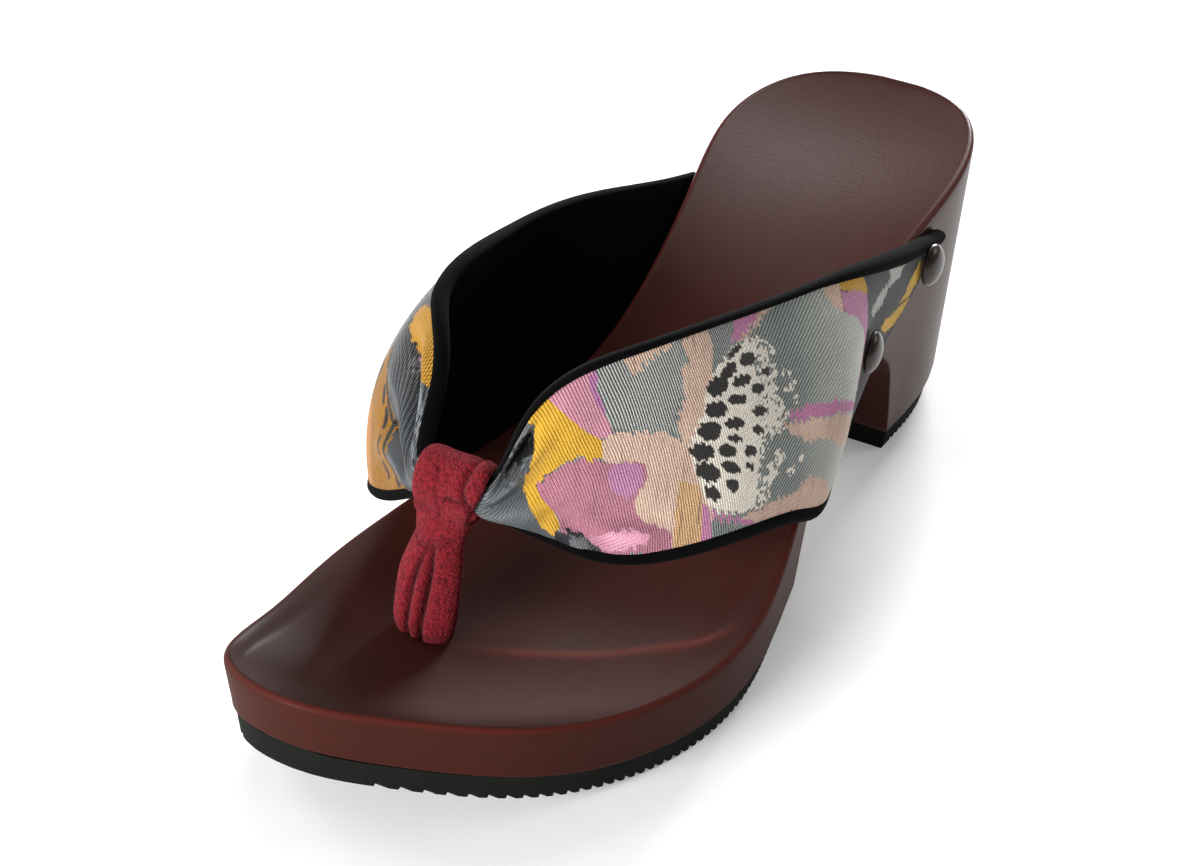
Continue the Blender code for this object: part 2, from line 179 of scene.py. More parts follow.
ARCH = np.array([
    # y, z of the arch between forefoot and heel
    (-2.0, 0.0), (-1.0, 6.0), (1.0, 12.0), (4.0, 18.0), (9.0, 23.5), (18.0, 28.8), (31.0, 33.0),
    (42.0, 35.0), (48.6, 34.7), (54.2, 32.1), (58.9, 28.2), (61.5, 24.0), (64.7, 14.0), (68.3, 0.0),
])
TOE_BAR = np.array([
    # x, y along the crest of the bar behind the toes
    (-9.8, -72.5), (-4.0, -71.2), (4.9, -68.9), (15.6, -63.8), (22.3, -59.7), (31.6, -52.0),
    (39.1, -45.3), (44.8, -33.0),
])
BIG_TOE = np.array([
    # y, x of the edge between the big toe's hollow and the ball of the foot
    (-118.0, -4.8), (-107.7, -8.4), (-100.5, -11.6), (-91.7, -12.7), (-81.8, -15.6), (-74.1, -20.8),
    (-67.5, -28.8), (-57.0, -38.9), (-45.0, -47.8),
])
TOE_Y, LENGTH = -117.7, 236.0
SOLE_THICK, RIM_BAND, RIM_ROUND, ARCH_ROUND = 5.5, 1.8, 1.2, 0.8
BAR_HEIGHT, BAR_AHEAD, BAR_BEHIND, TOE_HOLLOW = 1.3, 6.0, 9.0, 0.8
CHORDS, UNDER_CHORDS = 96, 20


def through(table, at):
    """Natural cubic spline down a table, its knots in the first column, read at the places given; a
    table of two columns gives plain values."""
    table, at = np.asarray(table, float), np.asarray(at, float)
    knots, values = table[:, 0], table[:, 1:]
    step = np.diff(knots)
    slope = np.diff(values, axis=0) / step[:, None]
    left, right = np.eye(len(knots)), np.zeros(values.shape)
    for i in range(1, len(knots) - 1):
        left[i, i - 1:i + 2] = step[i - 1], 2 * (step[i - 1] + step[i]), step[i]
        right[i] = 6 * (slope[i] - slope[i - 1])
    bend = np.linalg.solve(left, right)
    j = np.clip(np.searchsorted(knots, at) - 1, 0, len(knots) - 2)
    h = step[j][..., None]
    a, b = (knots[j + 1] - at)[..., None] / h, (at - knots[j])[..., None] / h
    curve = (a**3 - a) * bend[j] + (b**3 - b) * bend[j + 1]
    found = a * values[j] + b * values[j + 1] + curve * h**2 / 6
    return found[..., 0] if found.shape[-1] == 1 else found


def read_off(table, at):
    """Each further column of a table at places along its first, joined by straight lines."""
    return [np.interp(at, table[:, 0], column) for column in table[:, 1:].T]


def smooth_step(low, high, value):
    """Rises from 0 at low to 1 at high as t^2 (3 - 2 t)."""
    t = np.clip((value - low) / (high - low), 0, 1)
    return t * t * (3 - 2 * t)


def rim_columns(stations):
    """Rim points and outward normals at shares of the length: one array up each side."""
    rows = len(RIM_PLAN)
    wrapped = np.vstack([RIM_PLAN[-5:], RIM_PLAN, RIM_PLAN[:6]])
    fine = rows * 200
    curve = through(np.column_stack([np.arange(-5, rows + 6), wrapped]), np.arange(fine) / fine * rows)
    along = np.roll(curve, -1, axis=0) - np.roll(curve, 1, axis=0)
    out = np.stack([-along[:, 1], along[:, 0]], axis=1)
    out /= np.linalg.norm(out, axis=1)[:, None]
    both = np.roll(np.hstack([curve, out]), -curve[:, 1].argmin(), axis=0)
    both = np.vstack([both, both[:1]])
    heel = both[:, 1].argmax()
    sides = both[heel:][::-1], both[:heel + 1]
    y = sides[0][0, 1] + (sides[0][-1, 1] - sides[0][0, 1]) * stations
    return [np.stack(read_off(side[:, [1, 0, 1, 2, 3]], y), axis=1) for side in sides]


def crest_y(x):
    """y of the toe bar's crest across the footbed, level past its two ends."""
    return through(TOE_BAR, np.clip(x, TOE_BAR[0, 0], TOE_BAR[-1, 0]))


def bar_share(x, share):
    """How much of the toe bar stands: it rises away from the big toe and dies out before the rim."""
    return smooth_step(-8.8, 10.2, x) * smooth_step(0, 0.14, 1 - np.abs(share))


def footbed(x, y, share):
    """Height of the footbed: the dish z = rim - depth (1 - share^2), with the toe bar raised on it as
    height exp(-r / reach), r = sqrt(d^2 + 0.2) - 0.45, and the big toe's hollow sunk beside it."""
    z = through(RIM_HEIGHT, y) - through(DISH, y) * (1 - share**2)
    off = (y - crest_y(x)) / np.hypot(1, crest_y(x + 1) - crest_y(x))
    r = np.sqrt(off**2 + 0.2) - 0.45
    z = z + BAR_HEIGHT * bar_share(x, share) * np.exp(-r / np.where(off > 0, BAR_BEHIND, BAR_AHEAD))
    edge, = read_off(BIG_TOE, y)
    fade = smooth_step(0, 0.14, 1 - np.abs(share)) * smooth_step(-44, -60, y) * smooth_step(-116, -104, y)
    return z - TOE_HOLLOW * fade * smooth_step(-3.0, 9.0, (edge - x) * 0.75)


def toe_spring(y):
    """How far the ground side curves up ahead of y = -51.5: 0.0026 times the distance squared."""
    return 0.0026 * np.clip(-51.5 - y, 0, None)**2


def lean(z):
    """How far the wall has come in at a height: nothing under the rim, the whole draft at its foot."""
    return draft * np.clip((rim_z - RIM_BAND - z) / (rim_z - RIM_BAND - foot_z - foot_edge), 0, 1)


def two_sides(edge):
    """A ring round the body as the points up its outer and up its inner side, from toe to heel."""
    return edge[:last + 1], np.vstack([edge[:1], edge[:last:-1], edge[last:last + 1]])


def strip(edge, count):
    """Chords from one side of a ring to the other, as a grid of stations by count + 1."""
    start, end = (side[:, None] for side in two_sides(edge))
    share = np.linspace(0, 1, count + 1)[None, :, None]
    return start * (1 - share) + end * share


def grid_faces(points, closed=False):
    """Quads of a grid of points, row by row; closed joins the last column to the first."""
    rows, columns = points.shape[:2]
    i, j = np.meshgrid(np.arange(rows - 1), np.arange(columns if closed else columns - 1), indexing="ij")
    beside = (j + 1) % columns
    return np.stack([i * columns + j, i * columns + beside,
                     (i + 1) * columns + beside, (i + 1) * columns + j], axis=-1).reshape(-1, 4)


def joined(*grids):
    """Points and quads of several grids as one mesh, from each grid's (points, closed, flipped)."""
    faces, first = [], 0
    for points, closed, flipped in grids:
        faces.append(first + grid_faces(points, closed)[:, ::-1 if flipped else 1])
        first += points.size // 3
    return np.vstack([points.reshape(-1, 3) for points, _, _ in grids]), np.vstack(faces)


def weld(mesh, reach):
    """Joins points nearer than the reach in metres, and turns the faces outwards."""
    bm = bmesh.new()
    bm.from_mesh(mesh)
    bmesh.ops.remove_doubles(bm, verts=bm.verts, dist=reach)
    bmesh.ops.recalc_face_normals(bm, faces=bm.faces)
    bm.to_mesh(mesh)
    bm.free()


def mark(thing, name, values, kind="FLOAT", field="value"):
    """Lays a value or colour on every point of a piece, for its material to read."""
    thing.data.attributes.new(name, kind, "POINT").data.foreach_set(field, np.ravel(values))


def marked(made, name, output="Fac"):
    """Reads what mark() has laid on the points."""
    return node(made, "Attribute", output, attribute_name=name)


def noise(made, where, scale, detail=3.0, **sockets):
    """Cloudy noise from 0 to 1, with its scale in clouds to the unit."""
    return node(made, "TexNoise", "Fac", {"Vector": where, "Scale": scale, "Detail": detail, **sockets})


def ranged(made, value, start, end, low=0.0, high=1.0):
    """A straight rise from low to high as the value goes from start to end, level outside."""
    ends = {"From Min": start, "From Max": end, "To Min": low, "To Max": high}
    return node(made, "MapRange", "Result", {"Value": value, **ends})


def worked(made, operation, *terms):
    """Arithmetic on values and outputs."""
    return node(made, "Math", 0, enumerate(terms), operation=operation)


def bumped(made, height, strength, distance):
    """The surface's normal, tipped by a height; the distance is in metres."""
    return node(made, "Bump", "Normal", {"Height": height, "Strength": strength, "Distance": distance})


# stations lie closer towards heel and toe, and half a millimetre apart where the arch rises
stations = (1 - np.cos(np.pi * np.linspace(0, 1, 251))) / 2
arch_y = np.hstack([np.arange(-6, 14, 0.5), np.arange(54, 72, 0.5)])
stations = np.sort(np.hstack([stations, (arch_y - TOE_Y) / LENGTH]))
stations = stations[np.hstack([True, np.diff(stations) > 4e-4])]
outer, inner = rim_columns(stations)
last = len(stations) - 1
ring = np.vstack([outer, inner[-2:0:-1]])
draft, bevel = read_off(DRAFT, ring[:, 1])
rim_z = through(RIM_HEIGHT, ring[:, 1])
foot_z = SOLE_THICK + toe_spring(ring[:, 1])
foot_edge = 3.4 * bevel
low = foot_z.copy()
for _ in range(3):
    y = ring[:, 1] - ring[:, 3] * lean(low)
    arch = np.where((y > ARCH[0, 0]) & (y < ARCH[-1, 0]), read_off(ARCH, y)[0], 0)
    low = np.maximum(foot_z, arch)
carved = low > foot_z + 1
round_z = np.where(carved, ARCH_ROUND, foot_edge)
round_in = np.where(carved, ARCH_ROUND, bevel)
levels = [(RIM_ROUND * (1 - math.sin(a)), rim_z - RIM_ROUND * (1 - math.cos(a)))
          for a in np.radians(np.arange(0, 91, 15))]
for s in np.linspace(0, 1, 22)[1:]:
    z = rim_z - RIM_ROUND + s * (low + round_z - rim_z + RIM_ROUND)
    levels.append((lean(z), z))
for a in np.radians([22, 45, 68, 90]):
    levels.append((lean(low + round_z) + round_in * (1 - math.cos(a)), low + round_z * (1 - math.sin(a))))
wall = np.stack([np.column_stack([ring[:, :2] - ring[:, 2:] * (inset + 0 * rim_z)[:, None], z])
                 for inset, z in levels])
top = strip(wall[0], CHORDS)
share = np.broadcast_to(np.linspace(-1, 1, CHORDS + 1), top.shape[:2])
top[..., 2] = np.where(np.abs(share) < 1, footbed(top[..., 0], top[..., 1], share), top[..., 2])
under = strip(wall[-1], UNDER_CHORDS)

lacquer = material("satin_lacquer", Coat_Weight=0.02, Coat_Roughness=0.2, Specular_IOR_Level=0.07)
where = node(lacquer, "TexCoord", "Object")
stretch = node(lacquer, "Mapping", "Vector", {"Vector": where, "Scale": (260.0, 9.0, 260.0)})
fibres = noise(lacquer, stretch, 1.0, 5.0, Roughness=0.6, Distortion=0.4)
clouds = noise(lacquer, where, 14.0, 4.0)
skin = noise(lacquer, where, 900.0)
deep = mixed(lacquer, clouds, "29100b", "371a13")
grained = mixed(lacquer, fibres, deep, "3a1610")
# painted highlight: the marked share turns the lacquer lighter and redder, in a band round the rim's edge and
# a thin line on the bar's crest
lighter_share = worked(lacquer, "MULTIPLY", marked(lacquer, "rim_band_and_crest_highlight"), clouds)
lightened_lacquer = mixed(lacquer, lighter_share, grained, "58221a")
towards_heel = node(lacquer, "SeparateXYZ", "Y", {"Vector": where})
dulled = ranged(lacquer, towards_heel, -0.07, 0.05, 0.62, 0.3)
gloss = worked(lacquer, "MULTIPLY_ADD", clouds, 0.08, dulled)
bump = bumped(lacquer, worked(lacquer, "ADD", fibres, skin), 0.06, 0.0004)
finish_with(lacquer, Base_Color=lightened_lacquer, Roughness=gloss, Normal=bump)

shell = joined((wall, True, True), (top, False, False), (under, False, True))
body = add_object("wood_shell", *shell, lacquer)
# the lacquer is lighter and redder round the rim's edge, and a highlight is painted as a thin
# redder line along the bar's crest
near_rim = np.zeros(len(levels))
near_rim[:7] = 0.1, 0.4, 0.8, 1.0, 0.8, 0.4, 0.1
crest_off = 0.9 * (top[..., 1] - crest_y(top[..., 0]))
# painted highlight: a thin redder line along the bar's crest
paler_marks = 1.7 * np.exp(-(crest_off / 1.4)**2) * bar_share(top[..., 0], share)
rim_band_and_crest_highlight = np.hstack([np.repeat(near_rim, len(ring)), paler_marks.ravel(), np.zeros(under.size // 3)])
mark(body, "rim_band_and_crest_highlight", rim_band_and_crest_highlight)
weld(body.data, 2e-6)
body.data.set_sharp_from_angle(angle=math.radians(42))
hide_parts("wood_body")

# ======== rubber soles ========
# Moulded black-green rubber with saw-tooth ribs, glued under forefoot and heel: matt, finely
# pitted, and a little dusty in places.
rubber = material("sole_rubber", Roughness=0.8, Specular_IOR_Level=0.06)
where = node(rubber, "TexCoord", "Object")
tone = mixed(rubber, noise(rubber, where, 60.0, 5.0), "0b0c0b", "181a17")
pits = bumped(rubber, noise(rubber, where, 1400.0, 4.0), 0.35, 0.0003)
finish_with(rubber, Base_Color=tone, Normal=pits)


def tread(name, start, end):
    """A ribbed plate: the foot's outline drawn in 0.3 mm, its side leaning in 0.9 mm more to the
    ground, its underside stepped in ribs 2.4 mm apart with lands of 1.0 mm and 1.3 mm deep."""
    pitch, land, slope, cut = 2.4, 1.0, 0.35, 1.3
    foot_in, foot_up, top_z = 0.4, 1.9, SOLE_THICK + 0.1
    sides = [side for inset in (0.3, 1.2)
             for side in two_sides(ring[:, :2] - ring[:, 2:] * (draft + bevel + inset)[:, None])]
    start, end = max(start, sides[2][0, 1] + 0.02), min(end, sides[2][-1, 1] - 0.02)
    ribs = np.arange(math.ceil((start + pitch) / pitch) * pitch, end - 1.6, pitch)
    steps = ((ribs, 0.0), (ribs + land, 0.0), (ribs + land + slope, cut))
    marks = np.vstack([[(start, 0.0)], [(end, 0.0)]] + [np.column_stack([y, y * 0 + z]) for y, z in steps])
    marks = marks[marks[:, 0].argsort()]
    y = start + (end - start) * (1 - np.cos(np.linspace(0, np.pi, 300))) / 2
    y = np.unique(np.hstack([y, marks[:, 0]]).round(4))
    rise = toe_spring(y)
    ground = read_off(marks, y)[0] + rise
    x = [np.interp(y, side[:, 1], side[:, 0]) for side in sides]
    corners = ((x[0], top_z + rise), (x[2] + foot_in, foot_up + rise), (x[2], ground),
               (x[3], ground), (x[3] - foot_in, foot_up + rise), (x[1], top_z + rise))
    points = np.stack([np.column_stack([x_at, y, z]) for x_at, z in corners], axis=1)
    end_quads = np.array([(0, 1, 4, 5), (1, 2, 3, 4)])
    faces = np.vstack([grid_faces(points, closed=True), end_quads[:, [0, 3, 2, 1]],
                       end_quads + 6 * (len(y) - 1)])
    made = add_object(name + "_tread", points, faces, rubber)
    made.data.set_sharp_from_angle(angle=math.radians(30))
    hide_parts(name)


tread("forefoot_sole", -LENGTH, -2.2)
tread("heel_sole", 68.6, LENGTH)

# ======== brocade strap ========
# A padded band of jacquard brocade: grey twill ground, a large peach, orchid and mustard flower with
# a cream and black heart, gathered into the thong, bound top and bottom in rolled black cotton.
WING_OUTER = np.array([
    # share, top x, y, z, foot x, y, z, belly
    (0.10, -4.2, -61.0, 50.0, -5.0, -61.6, 43.0, 0.8),
    (0.22, -0.2, -52.6, 63.5, 7.0, -58.0, 38.5, 3.0),
    (0.38, 11.6, -33.7, 71.7, 21.6, -50.9, 34.2, 4.0),
    (0.54, 20.5, -14.4, 71.9, 34.7, -35.4, 34.7, 3.5),
    (0.70, 26.7, 7.5, 69.7, 41.4, -16.0, 32.0, 3.0),
    (0.84, 31.6, 29.9, 66.8, 40.4, 0.6, 29.0, 2.5),
    (0.89, 32.6, 41.5, 63.9, 36.9, 11.6, 30.2, -0.5),
    (0.93, 32.8, 52.0, 61.0, 35.4, 19.4, 32.8, -0.5),
    (0.965, 32.7, 61.4, 58.5, 34.1, 28.2, 36.6, -0.4),
    (1.00, 32.6, 71.4, 56.0, 33.1, 36.2, 40.5, 0.0),
])
WING_INNER = np.array([
    # share, top x, y, z, foot x, y, z, belly
    (0.10, -18.8, -61.0, 50.0, -17.7, -61.6, 43.0, 0.8),
    (0.22, -23.4, -48.5, 61.5, -26.8, -58.5, 37.0, 3.0),
    (0.38, -32.6, -32.5, 70.0, -36.0, -52.2, 31.6, 5.2),
    (0.54, -35.4, -15.0, 70.8, -40.0, -38.5, 26.5, 6.0),
    (0.70, -36.6, 3.0, 67.8, -34.8, -21.0, 22.9, 6.4),
    (0.84, -34.6, 23.0, 65.5, -27.0, -1.0, 28.2, 4.2),
    (0.93, -30.0, 44.0, 61.3, -21.8, 20.0, 34.2, 1.6),
    (0.965, -27.2, 55.0, 58.8, -20.0, 30.5, 38.0, 0.6),
    (1.00, -25.6, 66.0, 56.3, -19.8, 40.0, 41.8, 0.1),
])
BUNDLE = (0.0, -11.6, -61.0, 49.4, -11.6, -61.6, 42.8, 0.0)
GATHER = np.array([
    # share, extra thickness, trim
    (0.0, 1.3, 0.0), (0.1, 1.3, 0.0), (0.22, 0.4, 0.7), (0.38, 0.1, 1.2), (0.93, 0.0, 1.2),
    (0.965, 0.0, 1.0), (1.0, 0.0, 0.8),
])
FOLDS = np.array([
    # wing side, start along %, down %, end along %, down %, half-width mm, height mm
    (1, 9, 18, 22, 3, 1.5, 1.3), (1, 12, 16, 22, 14, 1.5, -2.4), (1, 10, 40, 24, 27, 1.6, 1.3),
    (1, 10, 58, 22, 50, 1.3, -1.0), (1, 9, 74, 24, 72, 1.3, 0.7), (1, 9, 84, 26, 90, 1.4, 1.3),
    (1, 20, 84, 33, 95, 1.6, -1.5), (1, 26, 93, 42, 91, 2.4, 1.3), (1, 28, 84, 44, 82, 2.2, -0.7),
    (1, 26, 8, 30, 30, 3.0, 0.6), (1, 24, 60, 42, 66, 3.0, 0.4),
    (-1, 9, 14, 30, 6, 1.7, 1.7), (-1, 11, 24, 36, 18, 2.0, -2.0), (-1, 11, 40, 34, 36, 2.0, 1.5),
    (-1, 12, 54, 30, 56, 1.8, -1.5), (-1, 12, 74, 30, 74, 1.7, 1.2), (-1, 16, 90, 30, 92, 1.5, -1.0),
])
PEACH, ORCHID = "cfb09d", "bb799e"
OUTER_CHART = (
    # colour, stripe, satin, outline as (along %, down %) corners
    ("565a5d", 0.55, 0.9, ((-1, -4), (24, -4), (24, 104), (-1, 104))),
    # painted shade: a near-black pocket under the fold beside the thong
    ("141516", 0.1, 0.9, ((13, 3), (16, 1), (19, 1), (21, 8), (21.4, 16), (21.2, 24), (18, 22), (14.5, 18))),
    ("3a3c3e", 0.6, 0.9, ((14, 24), (19, 25), (21.5, 26), (20, 35), (18, 38), (15, 32))),
    ("cb9c2c", 0.12, 0.3, ((20.2, -3), (22, 8), (21.2, 20), (20, 30), (18.8, 40), (18.5, 55), (19, 70),
     (20.2, 82), (21.3, 94), (23.5, 94), (24.6, 85), (23.5, 75), (21.8, 65), (20.8, 55), (21.8, 48),
     (24.5, 44), (28, 42), (31, 47), (32.2, 45), (32, 36), (30.5, 32), (29, 25), (27, 15), (25.5, 5),
     (24.5, -3))),
    ("c58898", 0.15, 0.3, ((24.2, -3), (25.7, 8), (27.6, 20), (29.7, 29), (31.4, 34.5), (33.8, 36),
     (33.2, 28), (32.4, 18), (31.8, 10), (32.5, 3), (33.5, -3))),
    ("a86d99", 0.15, 0.3, ((31, 2), (31, 9), (31.8, 18), (32.5, 24), (33, 22), (32.4, 14), (31.8, 10),
     (32.5, 3), (33.5, -3), (32, -3))),
    ("b2b5af", 1.0, 0.2, ((32.5, -3), (31.8, 8), (32.5, 18), (33.5, 30), (34.5, 33), (37, 35), (40, 38),
     (41.8, 40), (43, 40), (44.3, 45), (44, 38), (43.5, 34), (44.5, 28), (45.5, 27), (45.2, 20), (45.2, 14),
     (46.5, 12), (45.8, 5), (45, -3))),
    (PEACH, 0.12, 0.2, ((35.5, -3), (36.5, 4), (37.4, 9.5), (39, 6), (41, 4), (44, 2), (45.5, -3))),
    (PEACH, 0.15, 0.2, ((32, 36), (34, 34), (38, 37), (42, 40), (44.5, 46), (44, 36), (45.5, 27), (45, 13),
     (46.8, 12), (45.5, 0), (51, -3), (51.5, 5), (51, 14), (50.5, 20), (51, 30), (50.5, 36), (49, 45),
     (48, 50), (48, 60), (49, 70), (50.5, 80), (51, 86), (50, 98), (45, 98), (44, 90), (40, 84), (38, 80),
     (36.8, 72), (38, 64), (38.8, 60), (38.5, 53), (36, 50), (33, 49), (32, 46))),
    ("cfa678", 0.3, 0.2, ((44.5, 65), (48, 70), (49, 80), (49.5, 98), (45, 98), (44.5, 85))),
    ("ad7182", 0.15, 0.35, ((21.2, 52), (23, 47.5), (25, 44.5), (28, 43), (31, 47), (34, 49.5), (36.8, 50),
     (38.9, 53.5), (39.3, 60), (38.2, 65), (37.3, 70), (38.1, 77), (39.7, 81.6), (42.7, 85.5), (44.4, 90),
     (44.9, 98), (24, 98), (24.5, 90), (24.6, 82), (23, 74), (21.6, 66), (21, 58))),
    ("b27a9e", 0.15, 0.3, ((33.5, 50), (36.5, 50.5), (38.3, 54), (38.6, 60), (37.5, 65), (36, 68), (34, 66),
     (33, 60), (33, 54))),
    (ORCHID, 0.12, 0.3, ((48.6, 78), (50, 82), (50.8, 90), (51.5, 98), (49.5, 98), (49.2, 88))),
    ("8f9692", 1.0, 0.2, ((50.8, 84), (54, 91), (56, 98), (51.5, 98), (50.8, 90))),
    (ORCHID, 0.12, 0.2, ((50.5, 84), (55, 91), (60, 94), (62, 98), (59, 98), (55, 93.5), (51, 88))),
    ("9da19c", 1.0, 0.2, ((51, -3), (55.8, -3), (55, 8), (54, 13), (51.3, 15))),
    (ORCHID, 0.12, 0.2, ((55.8, -3), (56, 3), (54.8, 10), (56.5, 10), (59.5, 5), (61, 1), (62, -3))),
    (PEACH, 0.12, 0.2, ((56, 10), (58, 10), (60, 6), (63, 2), (66, -2), (62, -3), (61, 1), (59.5, 5))),
    (ORCHID, 0.15, 0.2, ((65, 51), (67, 50), (72, 50), (77, 51), (80, 53), (82, 56), (82.3, 60), (80, 58),
     (77, 56.5), (72, 56.5), (68, 55.5), (65.5, 54))),
    (PEACH, 0.15, 0.2, ((64, 55), (68, 56), (72, 57), (77, 57.5), (81, 60), (82.3, 62), (81.5, 70),
     (80.5, 75), (78, 71), (76, 68), (72, 66.5), (69, 65.5), (66.5, 62), (64.5, 58))),
    (PEACH, 0.15, 0.2, ((56, 92), (60, 90), (64, 89), (67, 90), (69, 86), (71, 83), (74, 83), (77, 87),
     (80, 93), (82, 98), (60, 98))),
    # painted shade: a dark fold at the foot beside the thong
    ("26262a", 0.1, 0.9, ((23.5, 90), (27, 88.5), (30, 90), (32, 94), (33, 99), (23.5, 99))),
    ("5c5f61", 0.2, 0.7, ((26, 93), (28.5, 91.5), (30.5, 94), (30, 99), (26.5, 99))),
    # painted highlight: a pale pink satin sheen on the fold beside it
    ("bd8398", 0.05, 0.9, ((29.7, 90), (33, 86), (37, 84.5), (40.6, 88), (40, 93), (36, 96), (31.5, 95))),
    ("1f2022", 0.3, 0.4, ((76, -4), (101, -4), (101, 104), (82, 104), (82, 52), (84, 45), (85, 38),
     (84.5, 25), (82, 18), (79, 14), (76, 6))),
    (ORCHID, 0.12, 0.2, ((78.7, 5), (80.5, 5.5), (83, 6), (84.5, 10), (84.8, 18), (85.5, 25), (85.9, 33),
     (85, 40), (84, 44), (83.3, 48), (82.4, 52), (83, 45), (84, 38), (84.5, 32), (83.5, 25), (81.5, 18),
     (79, 14), (78.6, 9))),
    (PEACH, 0.12, 0.2, ((75, -3), (75.5, 3), (77, 10), (78.7, 14), (78.6, 6), (79, 3), (78.5, -3))),
    ("c9971e", 0.2, 0.3, ((78.5, -3), (83.1, -3), (84.3, 5.7), (84.5, 9), (81, 5.6), (79, 4.3))),
    ("b9bcb5", 0.4, 0.2, ((89.2, 2.3), (92.8, 3.3), (92.6, 10.4), (90.8, 15.4), (90.5, 23.7), (88.8, 27.1),
     (86.8, 21.4), (89.1, 14.4), (90.6, 10.4))),
    ("d9a92c", 0.2, 0.3, ((96.9, 10), (98.5, 16), (99.5, 30), (99, 42), (96.3, 38), (97, 33), (96.6, 22))),
    ("d9a92c", 0.2, 0.3, ((99.5, 44), (99.8, 56), (98.5, 62), (95.5, 53), (92.8, 42), (93.4, 37.5),
     (96, 42))),
)
HEART = (
    # cream heart of the flower: its outline as (along %, down %) corners
    (51.8, 17), (53.5, 15), (55, 12), (57, 11), (60.4, 11), (62, 15.5), (61.8, 24), (62.8, 30), (62.2, 37),
    (63.2, 43), (64.6, 48), (64.6, 54), (63, 59), (60, 61), (59, 68), (59, 74), (60.6, 81), (61.4, 87),
    (59.5, 89), (56.5, 90), (53.6, 88), (51, 84), (49.6, 79), (48.6, 73), (47.9, 68), (46.5, 59), (46, 50),
    (47.3, 43), (48.4, 37), (49, 28), (50.1, 23),
)
SEEDS = np.array([
    # along %, down %, half-length mm, half-height mm, slope
    (55.2, 14.0, 2.4, 0.8, -0.35), (57.5, 19.4, 2.4, 1.6, 0.0), (53.6, 21.4, 2.5, 1.5, -0.3),
    (51.2, 26.8, 3.0, 2.0, 0.1), (55.8, 28.1, 2.9, 1.2, 0.1), (60.8, 27.8, 1.3, 1.0, 0.2),
    (58.8, 34.4, 2.0, 1.2, 0.3), (54.7, 35.8, 2.9, 1.1, 0.25), (50.7, 37.1, 2.9, 1.8, 0.3),
    (58.8, 44.8, 2.4, 1.1, 0.3), (53.9, 46.2, 3.0, 1.2, 0.35), (49.5, 46.2, 3.1, 2.0, 0.45),
    (58.4, 53.2, 2.1, 0.9, 0.45), (53.9, 53.2, 2.2, 0.8, 0.4), (48.2, 54.6, 3.3, 1.7, 0.5),
    (52.5, 57.9, 2.7, 1.3, 0.55), (56.8, 61.5, 2.1, 1.1, 0.55), (49.3, 64.9, 3.7, 1.7, 0.75),
    (53.3, 66.2, 3.1, 1.1, 0.65), (56.8, 68.6, 1.6, 0.7, 0.65), (53.8, 74.9, 2.0, 1.2, 0.9),
    (50.4, 75.6, 2.6, 1.2, 0.9),
])
FLECKS = np.array([
    # along %, down %, half-length mm, half-height mm
    (62.7, 19, 1.2, 1.4), (64.8, 31, 1.6, 1.6), (65.7, 39, 2.4, 2.0), (66.8, 45.5, 1.0, 1.3),
    (63.1, 69, 2.6, 2.6), (61.4, 76, 2.6, 3.0), (65.9, 77, 1.7, 1.6), (68.4, 73.5, 0.9, 1.0),
    (58.8, 81, 2.4, 2.4),
])
INNER_CHART = (
    # colour, stripe, satin, outline as (along %, down %) corners
    ("3c3e40", 0.4, 0.9, ((28, -4), (50, -4), (52, 30), (44, 44), (42, 60), (36, 62), (33, 80), (30, 104),
     (26, 104), (30, 60), (34, 30))),
    # painted highlight: a paler grey band along the fold's ridge, from the thong up to the top edge
    ("65696b", 0.3, 0.9, ((9, 12), (14, 8), (18, 6), (23.5, 15), (30, 24), (31, 20), (24.5, 10.5), (19, 1),
     (13.5, 2), (9, 6))),
    ("a8791c", 0.12, 0.4, ((20, -3), (22, 6), (25, 13), (28, 17), (32, 18), (37, 18), (39, 13), (39.5, 9),
     (36, 2), (33, -3))),
    ("b489a8", 0.1, 0.4, ((26.6, 14.4), (28.3, 14.4), (30.7, 19), (27.8, 18.7))),
    ("8a5d0a", 0.12, 0.1, ((41, 29), (36, 33), (32, 38.8), (29, 46), (26, 53), (23.8, 62), (22, 71),
     (20.3, 80), (18.9, 87), (14, 95), (13, 104), (33, 104), (37, 88))),
    ("6d7072", 0.3, 0.8, ((39, 35), (41, 20), (44, 10), (47, 3), (55, 3), (54, 20), (46, 34), (40, 42))),
    ("1f2022", 0.2, 0.5, ((38, 42), (43, 36), (46, 44), (44, 60), (40, 58))),
    ("2b2c2e", 0.2, 0.5, ((50, -4), (101, -4), (101, 104), (60, 104), (66, 80), (60, 40))),
    ("a06a20", 0.15, 0.3, ((33, 104), (33.2, 80), (33.5, 72), (35, 66), (37, 61), (39, 59), (42, 61),
     (42.5, 58), (42.3, 52), (43, 44), (45, 37), (48, 32), (52, 29), (58, 33), (60, 45), (62, 70),
     (64, 104))),
    ("6a3c1c", 0.2, 0.3, ((50, 60), (56, 40), (60, 45), (62, 70), (64, 104), (52, 104))),
    ("9a6a88", 0.15, 0.3, ((70, -3), (72, 9), (78, 12), (84, 10), (84, -3))),
    ("b08a68", 0.15, 0.3, ((85, -3), (86, 10), (90, 24), (94, 28), (95, 8), (93, -3))),
)
STREAKS = (
    # short black strokes on the mustard: (along %, down %) start and end
    ((38, 31), (35, 36)), ((33.5, 38), (31, 44)), ((30, 46), (28, 53)), ((27, 54), (25.6, 61)),
    ((25, 62), (23.6, 69)), ((23.6, 70), (22.2, 77)), ((22, 78), (20.8, 85)), ((21, 87), (19.5, 93)),
    ((30, 52), (28.6, 60)), ((27.6, 66), (26.4, 74)), ((26, 80), (24.8, 88)), ((33, 44), (31.6, 50)),
)
# how far the brocade's face and the lining's back lie off the strap's middle, in millimetres
FACE, BACK = 1.3, -1.25
# the width of one thread of the weave, in millimetres, and the direction square to it
THREAD, SLANT_X, SLANT_Y = 0.68, 0.91, 0.42


